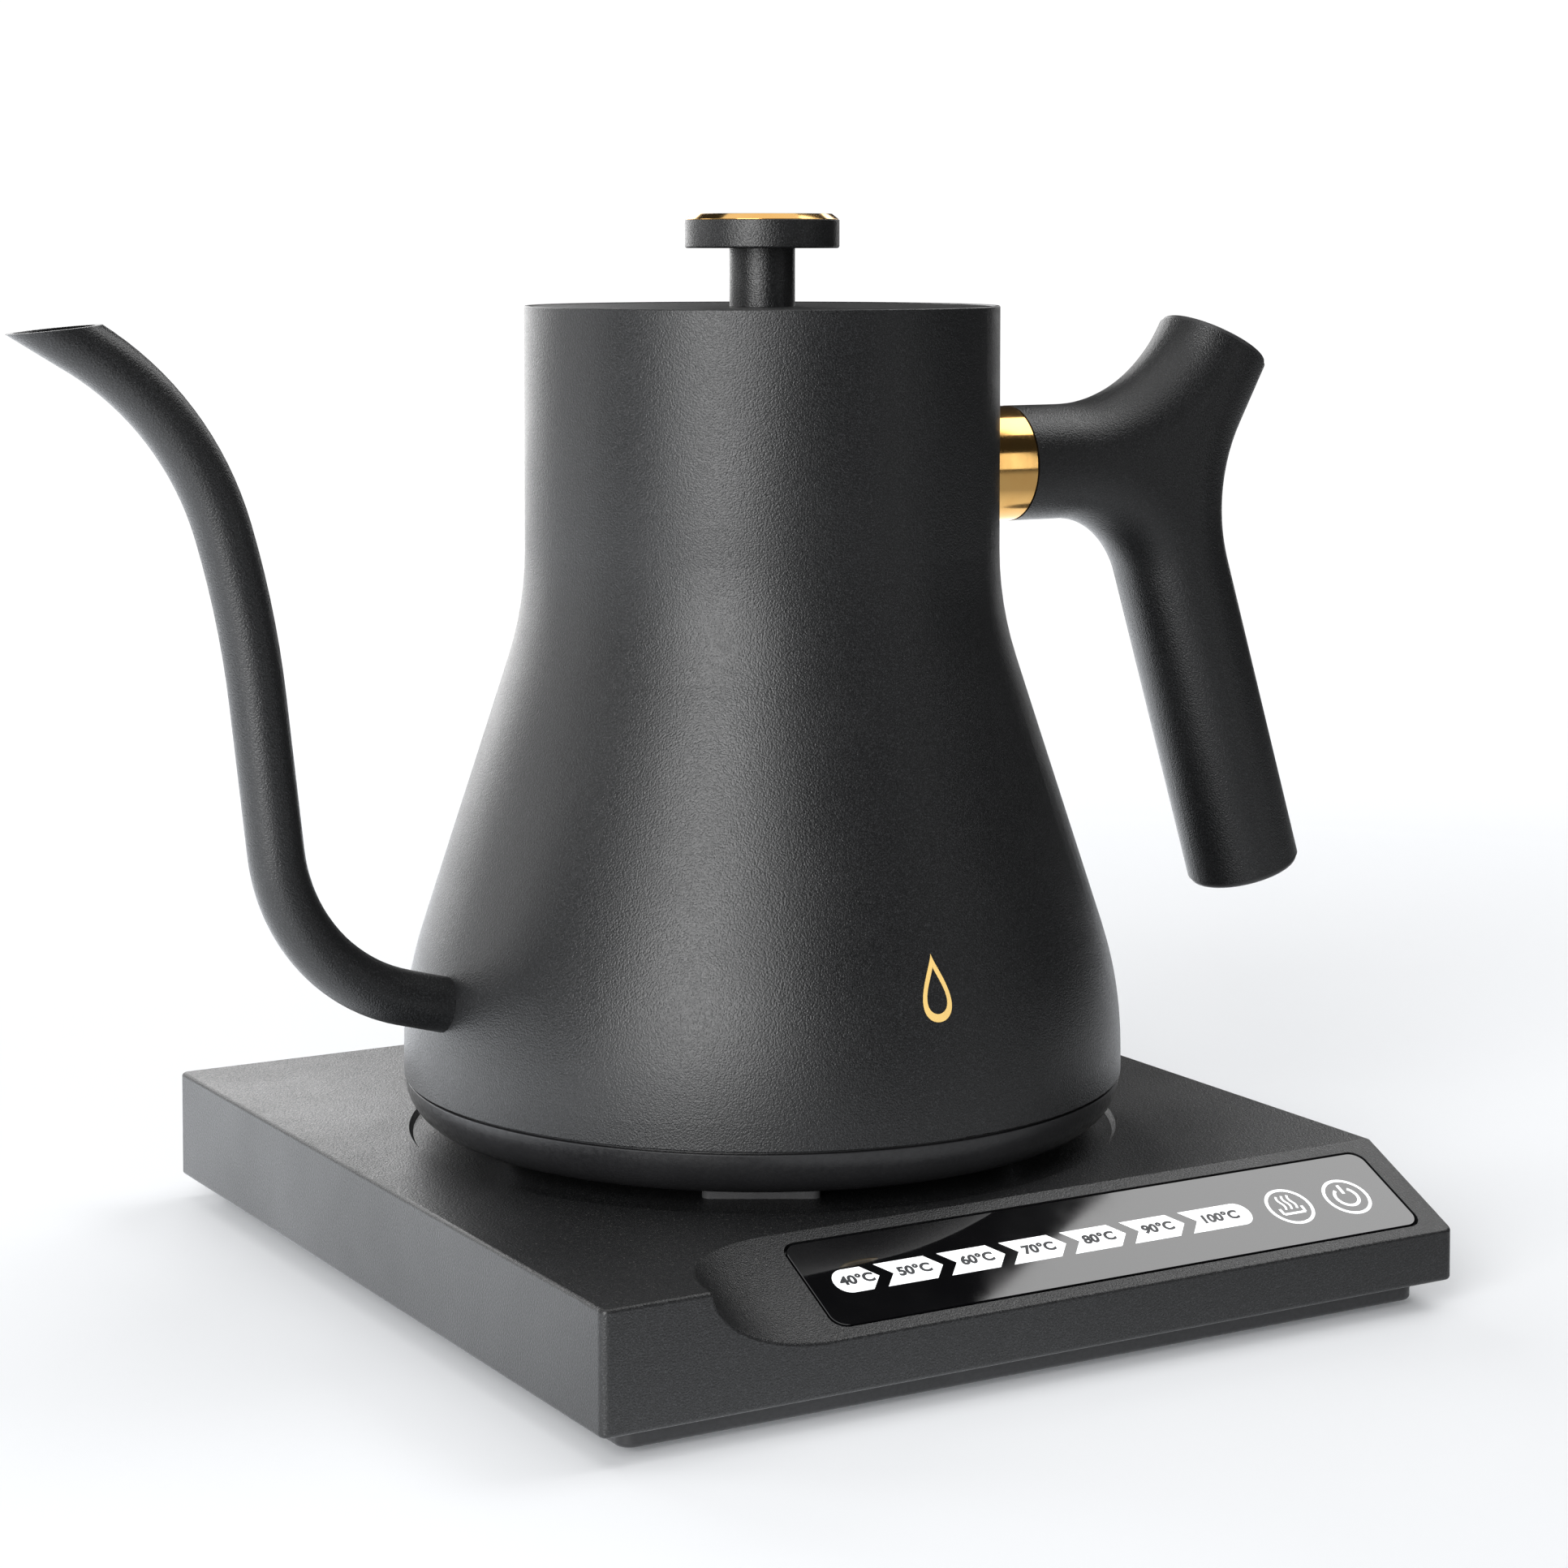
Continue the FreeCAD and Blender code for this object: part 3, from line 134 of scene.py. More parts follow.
class StudioSettings(bpy.types.PropertyGroup):
    camera_place: bpy.props.FloatVectorProperty(
        name="Camera", description="Place of the camera", unit="LENGTH", subtype="TRANSLATION",
        size=3, default=(-0.3494, -0.6107, 0.2024))
    camera_turn: bpy.props.FloatProperty(
        name="Turn", description="Which way the camera faces, clockwise from +Y",
        subtype="ANGLE", default=math.atan2(0.5019, 0.8649))
    lens: bpy.props.FloatProperty(
        name="Lens", description="Focal length in millimetres", default=81.5)
    camera_pitch: bpy.props.FloatProperty(
        name="Pitch", description="How far the camera looks down", subtype="ANGLE",
        default=math.radians(3.42))
    shift: bpy.props.FloatProperty(
        name="Shift", description="Vertical lens shift", default=-0.21)
    key_strength: brightness("Key", "Brightness of the tall light left of the camera", 8.0)
    back_strength: brightness("Back", "Brightness of the large light behind on the left", 3.5)
    side_strength: brightness("Side", "Brightness of the light on the left", 2.6)
    rim_strength: brightness("Rim", "Brightness of the weak light behind on the right", 1.5)
    top_strength: brightness("Top", "Brightness of the light overhead", 1.1)
    fill_strength: brightness("Fill", "Brightness of the narrow light on the right", 1.5)
    cap_strength: brightness("Cap", "Brightness of the high light behind on the right", 3.0)
    panel_strength: brightness("Panel", "Brightness of the box that shows in the glass", 3.9)


# ---------------------------------------------------------------- node helpers

def add(tree, kind, inputs=None, **settings):
    """Adds a node. Each input gets a value, or a link if it is given another node's socket."""
    made = tree.nodes.new(kind)
    for name, value in settings.items():
        setattr(made, name, value)
    for name, value in (inputs or {}).items():
        if isinstance(value, bpy.types.NodeSocket):
            tree.links.new(value, made.inputs[name])
        else:
            made.inputs[name].default_value = value
    return made


def calculate(tree, operation, first, second=0.0):
    """The result of one math node."""
    return add(tree, "ShaderNodeMath", {0: first, 1: second}, operation=operation).outputs[0]


def spread(tree, value, low, high, to_low=0.0, to_high=1.0):
    """Maps a value from one range to another, clamped."""
    return add(tree, "ShaderNodeMapRange", {
        "Value": value, "From Min": low, "From Max": high, "To Min": to_low, "To Max": to_high,
    }).outputs[0]


def blend_colour(tree, share, first, second):
    """Mixes two colours."""
    return add(tree, "ShaderNodeMix", {0: share, 6: first, 7: second}, data_type="RGBA").outputs[2]


def new_group(name, inputs, outputs):
    """Starts a shader node group with named sockets."""
    tree = bpy.data.node_groups.new(name, "ShaderNodeTree")
    for label, kind, default in inputs:
        socket = tree.interface.new_socket(label, in_out="INPUT", socket_type=kind)
        socket.default_value = default
    for label in outputs:
        tree.interface.new_socket(label, in_out="OUTPUT", socket_type="NodeSocketFloat")
    return tree, tree.nodes.new("NodeGroupInput").outputs, tree.nodes.new("NodeGroupOutput").inputs


def object_place(tree):
    """The Object coordinates."""
    return add(tree, "ShaderNodeTexCoord").outputs["Object"]


def noise(tree, place, scale, detail=2.0, roughness=0.5):
    """The value of a noise texture."""
    return add(tree, "ShaderNodeTexNoise", {
        "Vector": place, "Scale": scale, "Detail": detail, "Roughness": roughness,
    }).outputs[0]


def powder_grain_group():
    """The fine sandy texture of a baked coat, with paler grains in it."""
    tree, given, result = new_group("powder_grain", [
        ("Grain Size", "NodeSocketFloat", 0.45 * MM),
        ("Fleck Share", "NodeSocketFloat", 0.35),
    ], ["Height", "Fleck", "Gloss"])
    place = object_place(tree)
    scale = calculate(tree, "DIVIDE", 1.0, given["Grain Size"])
    lumps = noise(tree, place, scale, 1.0, 0.5)
    tree.links.new(lumps, result["Height"])
    sparks = noise(tree, place, calculate(tree, "MULTIPLY", scale, 1.3), 1.0, 0.5)
    fleck = spread(tree, sparks, 0.5, 0.72)
    tree.links.new(calculate(tree, "MULTIPLY", fleck, given["Fleck Share"]), result["Fleck"])
    tree.links.new(spread(tree, lumps, 0.3, 0.7), result["Gloss"])
    return tree


def handling_group():
    """Slow changes over a surface: where hands wipe it and where dust settles."""
    tree, given, result = new_group("handling", [
        ("Patch Size", "NodeSocketFloat", 30 * MM),
    ], ["Wiped", "Dust"])
    place = object_place(tree)
    scale = calculate(tree, "DIVIDE", 1.0, given["Patch Size"])
    tree.links.new(spread(tree, noise(tree, place, scale, 3.0, 0.6), 0.35, 0.7), result["Wiped"])
    specks = noise(tree, place, calculate(tree, "MULTIPLY", scale, 90.0), 1.0, 0.5)
    facing = add(tree, "ShaderNodeSeparateXYZ",
                 {0: add(tree, "ShaderNodeNewGeometry").outputs["Normal"]}).outputs["Z"]
    dust = calculate(tree, "MULTIPLY", spread(tree, specks, 0.66, 0.76), spread(tree, facing, 0.4, 1.0))
    tree.links.new(dust, result["Dust"])
    return tree


def drawn_lines_group():
    """Fine lines that run one way, as brushing or drawing leaves them."""
    tree, given, result = new_group("drawn_lines", [
        ("Line Spacing", "NodeSocketFloat", 0.2 * MM),
        ("Along", "NodeSocketVector", (1.0, 1.0, 0.02)),
    ], ["Height", "Shade"])
    scaled = add(tree, "ShaderNodeVectorMath", {0: object_place(tree), 1: given["Along"]},
                 operation="MULTIPLY").outputs[0]
    scale = calculate(tree, "DIVIDE", 1.0, given["Line Spacing"])
    lines = noise(tree, scaled, scale, 3.0, 0.7)
    tree.links.new(lines, result["Height"])
    tree.links.new(spread(tree, lines, 0.35, 0.65), result["Shade"])
    return tree


def turned_lines_group():
    """Fine rings round an axis, as a lathe leaves them."""
    tree, given, result = new_group("turned_lines", [
        ("Centre", "NodeSocketVector", (0.0, 0.0, 0.0)),
        ("Axis Turn", "NodeSocketVector", (0.0, 0.0, 0.0)),
        ("Line Spacing", "NodeSocketFloat", 0.12 * MM),
    ], ["Height", "Shade"])
    moved = add(tree, "ShaderNodeVectorMath", {0: object_place(tree), 1: given["Centre"]},
                operation="SUBTRACT").outputs[0]
    turned = add(tree, "ShaderNodeVectorRotate", {"Vector": moved, "Rotation": given["Axis Turn"]},
                 rotation_type="EULER_XYZ").outputs[0]
    parts = add(tree, "ShaderNodeSeparateXYZ", {0: turned}).outputs
    across = calculate(tree, "SQRT", calculate(
        tree, "ADD", calculate(tree, "MULTIPLY", parts["X"], parts["X"]),
        calculate(tree, "MULTIPLY", parts["Y"], parts["Y"])))
    ring = add(tree, "ShaderNodeCombineXYZ", {"X": across, "Y": parts["Z"]}).outputs[0]
    lines = noise(tree, ring, calculate(tree, "DIVIDE", 1.0, given["Line Spacing"]), 2.0, 0.6)
    tree.links.new(lines, result["Height"])
    tree.links.new(spread(tree, lines, 0.35, 0.65), result["Shade"])
    return tree


def moulded_grain_group():
    """The spark-eroded texture of a moulded part."""
    tree, given, result = new_group("moulded_grain", [
        ("Grain Size", "NodeSocketFloat", 0.3 * MM),
    ], ["Height", "Gloss"])
    place = object_place(tree)
    scale = calculate(tree, "DIVIDE", 1.0, given["Grain Size"])
    pits = add(tree, "ShaderNodeTexVoronoi", {"Vector": place, "Scale": scale},
               feature="SMOOTH_F1").outputs["Distance"]
    lumps = noise(tree, place, calculate(tree, "MULTIPLY", scale, 0.4), 2.0, 0.5)
    tree.links.new(calculate(tree, "ADD", calculate(tree, "MULTIPLY", pits, 0.6), lumps), result["Height"])
    tree.links.new(spread(tree, lumps, 0.35, 0.65), result["Gloss"])
    return tree


GROUP_MAKERS = {
    "powder_grain": powder_grain_group,
    "handling": handling_group,
    "drawn_lines": drawn_lines_group,
    "turned_lines": turned_lines_group,
    "moulded_grain": moulded_grain_group,
}


def place_group(tree, name, inputs=None):
    """Places a shared effect in a material and returns its node."""
    effect = bpy.data.node_groups.get(name) or GROUP_MAKERS[name]()
    return add(tree, "ShaderNodeGroup", inputs, node_tree=effect)


def start_material(name, **sockets):
    """A new material with one Principled shader; each keyword sets one of its sockets."""
    made = bpy.data.materials.new(name)
    made.use_nodes = True
    shader = made.node_tree.nodes["Principled BSDF"]
    for label, value in sockets.items():
        shader.inputs[label.replace("_", " ")].default_value = value
    return made, made.node_tree, shader


def feed(tree, shader, **sockets):
    """Links outputs to the shader; each keyword names one of its sockets."""
    for label, output in sockets.items():
        tree.links.new(output, shader.inputs[label.replace("_", " ")])


def bump(tree, height, distance):
    """A normal from a height."""
    return add(tree, "ShaderNodeBump", {"Height": height, "Distance": distance, "Strength": 1.0}).outputs[0]


def opaque(colour):
    """A colour with full cover."""
    return (*colour, 1.0)


# ---------------------------------------------------------------- materials

def coat_material(name, tint=1.0, dull=0.0):
    """Charcoal powder coat."""
    finish = bpy.context.scene.kettle_finish
    made, tree, shader = start_material(name, Specular_IOR_Level=0.6)
    grain = place_group(tree, "powder_grain", {"Grain Size": finish.grain_size}).outputs
    handled = place_group(tree, "handling", {"Patch Size": 35 * MM}).outputs
    coat = [channel * tint for channel in finish.coat_colour]
    fleck = [channel * tint for channel in finish.fleck_colour]
    flecked = blend_colour(tree, grain["Fleck"], opaque(coat), opaque(fleck))
    dusted = blend_colour(tree, calculate(tree, "MULTIPLY", handled["Dust"], 0.25), flecked,
                          (0.3, 0.29, 0.27, 1.0))
    gloss = spread(tree, grain["Gloss"], 0.0, 1.0, 0.33 + dull, 0.45 + dull)
    wiped = spread(tree, handled["Wiped"], 0.0, 1.0, -0.02, 0.04)
    feed(tree, shader, Base_Color=dusted, Roughness=calculate(tree, "ADD", gloss, wiped),
         Normal=bump(tree, grain["Height"], finish.coat_relief))
    return made


def moulded_material(name, colour, roughness=0.5, grain=0.3 * MM, relief=0.03 * MM):
    """Moulded plastic or rubber with a fine grain."""
    made, tree, shader = start_material(name)
    texture = place_group(tree, "moulded_grain", {"Grain Size": grain}).outputs
    handled = place_group(tree, "handling", {"Patch Size": 22 * MM}).outputs
    paler = [min(1.0, channel * 1.35 + 0.01) for channel in colour]
    mixed = blend_colour(tree, calculate(tree, "MULTIPLY", handled["Wiped"], 0.35), opaque(colour),
                         opaque(paler))
    gloss = spread(tree, texture["Gloss"], 0.0, 1.0, roughness - 0.06, roughness + 0.08)
    feed(tree, shader, Base_Color=mixed, Roughness=gloss, Normal=bump(tree, texture["Height"], relief))
    return made


def drawn_metal(name, colour, roughness=0.3, along=(1.0, 1.0, 0.02), relief=0.004 * MM):
    """Metal with fine lines from brushing or drawing."""
    made, tree, shader = start_material(name, Metallic=1.0)
    lines = place_group(tree, "drawn_lines", {"Along": along}).outputs
    handled = place_group(tree, "handling").outputs
    darker = [channel * 0.82 for channel in colour]
    mixed = blend_colour(tree, lines["Shade"], opaque(darker), opaque(colour))
    gloss = spread(tree, lines["Shade"], 0.0, 1.0, roughness - 0.05, roughness + 0.07)
    wiped = spread(tree, handled["Wiped"], 0.0, 1.0, 0.0, 0.06)
    feed(tree, shader, Base_Color=mixed, Roughness=calculate(tree, "ADD", gloss, wiped),
         Normal=bump(tree, lines["Height"], relief))
    return made


def gold_material(name, centre=(0.0, 0.0, 0.0), axis_turn=(0.0, 0.0, 0.0)):
    """Polished gold plate over a turned part."""
    finish = bpy.context.scene.kettle_finish
    made, tree, shader = start_material(name, Metallic=1.0)
    lines = place_group(tree, "turned_lines", {"Centre": centre, "Axis Turn": axis_turn}).outputs
    handled = place_group(tree, "handling", {"Patch Size": 9 * MM}).outputs
    colour = list(finish.gold_colour)
    warmer = [colour[0] * 0.95, colour[1] * 0.88, colour[2] * 0.8]
    mixed = blend_colour(tree, handled["Wiped"], opaque(colour), opaque(warmer))
    gloss = spread(tree, lines["Shade"], 0.0, 1.0, 0.09, 0.14)
    wiped = spread(tree, handled["Wiped"], 0.0, 1.0, 0.0, 0.03)
    feed(tree, shader, Base_Color=mixed, Roughness=calculate(tree, "ADD", gloss, wiped),
         Normal=bump(tree, lines["Height"], 0.0012 * MM))
    return made


def glass_material(name):
    """Black back-printed glass: polished, with the faintest smears."""
    made, tree, shader = start_material(name, Specular_IOR_Level=0.7)
    handled = place_group(tree, "handling", {"Patch Size": 14 * MM}).outputs
    mixed = blend_colour(tree, handled["Wiped"], (0.0015, 0.0015, 0.002, 1.0), (0.003, 0.003, 0.0035, 1.0))
    feed(tree, shader, Base_Color=mixed, Roughness=spread(tree, handled["Wiped"], 0.0, 1.0, 0.02, 0.05))
    return made


def ink_material(name, colour, painted_glow):
    """Printed marks on the panel and the gold emblem; their emission is a painted glow that brightens them.
    """
    made, tree, shader = start_material(name, Emission_Strength=painted_glow)
    handled = place_group(tree, "handling", {"Patch Size": 5 * MM}).outputs
    paler = [min(1.0, channel * 1.06) for channel in colour]
    mixed = blend_colour(tree, handled["Wiped"], opaque(colour), opaque(paler))
    feed(tree, shader, Base_Color=mixed, Emission_Color=mixed,
         Roughness=spread(tree, handled["Wiped"], 0.0, 1.0, 0.3, 0.42))
    return made


def board_material(name):
    """Solder mask with copper tracks showing through."""
    made, tree, shader = start_material(name)
    place = object_place(tree)
    tracks = add(tree, "ShaderNodeTexBrick", {
        "Vector": place, "Scale": 260.0, "Mortar Size": 0.09, "Bias": -0.2,
        "Color1": (0.01, 0.10, 0.05, 1.0), "Color2": (0.012, 0.12, 0.06, 1.0),
        "Mortar": (0.03, 0.19, 0.09, 1.0),
    }).outputs
    feed(tree, shader, Base_Color=tracks["Color"], Normal=bump(tree, tracks["Fac"], 0.03 * MM),
         Roughness=spread(tree, tracks["Fac"], 0.0, 1.0, 0.42, 0.28))
    return made


# Each metal: its colour, roughness and the way its lines run.
METALS = {
    "stainless": ((0.60, 0.59, 0.57), 0.22, (1.0, 1.0, 0.03)),
    "element_steel": ((0.36, 0.33, 0.30), 0.36),
    "zinc": ((0.55, 0.56, 0.58), 0.30, (1.0, 0.1, 1.0)),
    "aluminium": ((0.66, 0.67, 0.68), 0.42, (0.3, 1.0, 1.0)),
    "contact_brass": ((0.72, 0.50, 0.20), 0.25),
}
# Each plastic or rubber: its colour, roughness, grain size and relief.
MOULDED = {
    "cover_plastic": ((0.012, 0.012, 0.013), 0.34, 0.35 * MM, 0.02 * MM),
    "plinth_plastic": ((0.014, 0.014, 0.015), 0.45),
    "connector_plastic": ((0.02, 0.02, 0.021), 0.42),
    "shroud_plastic": ((0.06, 0.06, 0.062), 0.4),
    "cap_plastic": ((0.03, 0.03, 0.031), 0.38, 0.25 * MM, 0.015 * MM),
    "guide_plastic": ((0.78, 0.80, 0.82), 0.3),
    "relay_plastic": ((0.02, 0.03, 0.06), 0.25),
    "terminal_plastic": ((0.03, 0.22, 0.08), 0.35),
    "transformer_tape": ((0.62, 0.46, 0.06), 0.4),
    "capacitor_sleeve": ((0.02, 0.03, 0.07), 0.3),
    "silicone": ((0.62, 0.62, 0.6), 0.45),
    "foot_rubber": ((0.07, 0.07, 0.072), 0.6, 0.5 * MM, 0.05 * MM),
}
# Each ink: its colour and the strength of its painted glow.
INKS = {
    "tag_white": ((0.88, 0.89, 0.9), 0.55),
    "mark_gold": ((0.66, 0.45, 0.15), 0.35),
    "digit_black": ((0.012, 0.014, 0.018), 0.0),
}


def make_finishes():
    """One material for each slot of the record."""
    made = {
        "kettle_coat": coat_material("kettle_coat"),
        "lid_coat": coat_material("lid_coat", 1.05),
        "grip_coat": coat_material("grip_coat", 0.95),
        "knob_coat": coat_material("knob_coat"),
        "casing_coat": coat_material("casing_coat", 1.1, 0.03),
        "gold": gold_material("gold"),
        "ferrule_gold": gold_material(
            "ferrule_gold", (0.0, 0.0, HANDLE_HEIGHT), (0.0, math.pi / 2, 0.0)),
        "board": board_material("board"),
        "panel_glass": glass_material("panel_glass"),
    }
    for maker, looks in ((drawn_metal, METALS), (moulded_material, MOULDED), (ink_material, INKS)):
        for name, look in looks.items():
            made[name] = maker(name, *look)
    return made


# Filled by the operator that makes the finishes, and read by the others.
FINISHES = {}


# ---------------------------------------------------------------- mesh helpers

def rounded(corners, closed=True):
    """Points of an outline. A corner's third item is the radius that rounds it."""
    points = []
    count = len(corners)
    for index, corner in enumerate(corners):
        here = Vector(corner[:2])
        radius = corner[2] if len(corner) > 2 else 0.0
        if radius == 0.0 or (not closed and index in (0, count - 1)):
            points.append(here)
            continue
        back = (Vector(corners[index - 1][:2]) - here).normalized()
        onward = (Vector(corners[(index + 1) % count][:2]) - here).normalized()
        half_turn = (math.pi - back.angle(onward)) / 2
        centre = here + (back + onward).normalized() * (radius / math.cos(half_turn))
        first = here + back * radius * math.tan(half_turn) - centre
        steps = max(2, math.ceil(2 * half_turn / ROUND_STEP))
        sweep = 2 * half_turn * (1 if first.cross(here + onward * radius * math.tan(half_turn) - centre) > 0
                                 else -1)
        for step in range(steps + 1):
            angle = sweep * step / steps
            points.append(centre + Matrix.Rotation(angle, 2) @ first)
    return points


def place_object(name, data):
    """Puts a new object in the scene."""
    made = bpy.data.objects.new(name, data)
    bpy.context.scene.collection.objects.link(made)
    return made


def evaluated_mesh(holder):
    """The mesh that an object shows, with its modifiers applied."""
    bpy.context.view_layer.update()
    return bpy.data.meshes.new_from_object(holder.evaluated_get(bpy.context.evaluated_depsgraph_get()))


def finish_mesh(name, mesh, material, body, replaced=(), sharp=35):
    """Makes a piece of a mesh: outward faces, smooth shading with crisp edges, its body and slot."""
    shape = bmesh.new()
    shape.from_mesh(mesh)
    bmesh.ops.remove_doubles(shape, verts=shape.verts, dist=1e-7)
    bmesh.ops.recalc_face_normals(shape, faces=shape.faces)
    shape.to_mesh(mesh)
    shape.free()
    mesh.name = name
    mesh.materials.clear()
    mesh.materials.append(FINISHES[material])
    for face in mesh.polygons:
        face.use_smooth = True
    mesh.set_sharp_from_angle(angle=math.radians(sharp))
    piece = place_object(name, mesh)
    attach(piece, body)
    if replaced:
        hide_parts(*replaced)
    return piece


def turned_mesh(corners, bend=None, sides=TURNED_SIDES):
    """A closed shape turned about Z from an outline of radius and height."""
    outline = rounded(corners)
    shape = bmesh.new()
    rings = []
    for radius, height in outline:
        if radius < 1e-7:
            rings.append([shape.verts.new((0.0, 0.0, height))] * sides)
            continue
        ring = []
        for side in range(sides):
            angle = 2 * math.pi * side / sides
            ring.append(shape.verts.new((radius * math.cos(angle), radius * math.sin(angle), height)))
        rings.append(ring)
    for lower, upper in zip(rings, rings[1:] + rings[:1]):
        for side in range(sides):
            after = (side + 1) % sides
            loop = []
            for vertex in (lower[side], lower[after], upper[after], upper[side]):
                if vertex not in loop:
                    loop.append(vertex)
            if len(loop) > 2:
                shape.faces.new(loop)
    if bend is not None:
        for vertex in shape.verts:
            vertex.co = bend(vertex.co)
    return mesh_from(shape)


def band(shape, first, second):
    """Joins two closed rows of vertices with faces."""
    for index in range(len(first)):
        after = (index + 1) % len(first)
        shape.faces.new((first[index], first[after], second[after], second[index]))


def flat_prism(shape, points, low, high, place):
    """Adds a closed prism over a flat outline; place turns (x, y, height) into a point."""
    under = [shape.verts.new(place(x, y, low)) for x, y in points]
    over = [shape.verts.new(place(x, y, high)) for x, y in points]
    faces = [shape.faces.new(over), shape.faces.new(under[::-1])]
    band(shape, under, over)
    bmesh.ops.triangulate(shape, faces=faces)


def ring_prism(shape, centre, inner, outer, low, high, place, start=0.0, sweep=2 * math.pi):
    """Adds a flat ring, or part of one, as a closed prism."""
    steps = max(8, math.ceil(sweep / ROUND_STEP * 2))
    whole = sweep > 2 * math.pi - 1e-6
    columns = []
    for step in range(steps if whole else steps + 1):
        angle = start + sweep * step / steps
        column = []
        for radius, height in ((inner, low), (outer, low), (outer, high), (inner, high)):
            column.append(shape.verts.new(place(
                centre[0] + radius * math.cos(angle), centre[1] + radius * math.sin(angle), height)))
        columns.append(column)
    pairs = list(zip(columns, columns[1:]))
    if whole:
        pairs.append((columns[-1], columns[0]))
    else:
        shape.faces.new(columns[0])
        shape.faces.new(columns[-1][::-1])
    for first, second in pairs:
        band(shape, first, second)


def stroke_prism(shape, route, width, low, high, place):
    """Adds a line of one width along a route as a closed prism."""
    left, right = [], []
    for index, point in enumerate(route):
        before = route[max(index - 1, 0)]
        after = route[min(index + 1, len(route) - 1)]
        along = (Vector(after) - Vector(before)).normalized()
        aside = Vector((-along.y, along.x)) * (width / 2)
        left.append(Vector(point) + aside)
        right.append(Vector(point) - aside)
    flat_prism(shape, left + right[::-1], low, high, place)


def mesh_from(shape):
    """Turns a finished shape into a mesh, which takes its piece's name later."""
    mesh = bpy.data.meshes.new("piece")
    shape.to_mesh(mesh)
    shape.free()
    return mesh


# ---------------------------------------------------------------- touch panel

GLASS_THICK = 1.5 * MM
GLASS_CORNER = 3.0 * MM
GLASS_BEVEL = 0.2 * MM
MARK_LOW = 0.01 * MM
MARK_HIGH = 0.04 * MM
END_ROUND = 0.98
DIGIT_OFFSET = 0.05 * MM
DIGIT_WEIGHT = 0.09 * MM
DIGIT_FLATTEN = 0.2
DIGIT_LIFT = 0.015 * MM
DIGIT_STRETCH = 1.12
DIGIT_INSET = 7.05 * MM
FIRST_DIGIT_INSET = 4.8 * MM
WARM_PLACE = 151.9 * MM
POWER_PLACE = 165.6 * MM
ICON_DROP = 0.3 * MM
ICON_LINE = 0.68 * MM


def on_panel(x, up, height):
    """A point of the slanted panel: x along it from the base's left side, up its slope, and off it."""
    return Vector((
        CASING_LOW.x + x,
        CASING_LOW.y + up * math.cos(PANEL_ANGLE) - height * math.sin(PANEL_ANGLE),
        PANEL_FOOT + up * math.sin(PANEL_ANGLE) + height * math.cos(PANEL_ANGLE),
    ))


def tag_outline(index, settings):
    """An arrow tag. The first has a round tail and the last a round nose."""
    left = settings.second_tag + settings.tag_pitch * (index - 1)
    right = left + settings.tag_body
    middle = PANEL_LENGTH - settings.tag_middle
    half = settings.tag_height / 2
    low = middle - half
    high = middle + half
    tail = [(left, high), (left + settings.tag_point, middle), (left, low)]
    nose = [(right, low), (right + settings.tag_point, middle), (right, high)]
    if index == 0:
        tail = [(settings.tag_start, high, half * END_ROUND), (settings.tag_start, low, half * END_ROUND)]
    if index == settings.tag_count - 1:
        nose = [(settings.tag_end, low, half * END_ROUND), (settings.tag_end, high, half * END_ROUND)]
    return [tuple(point) for point in rounded(tail + nose)]


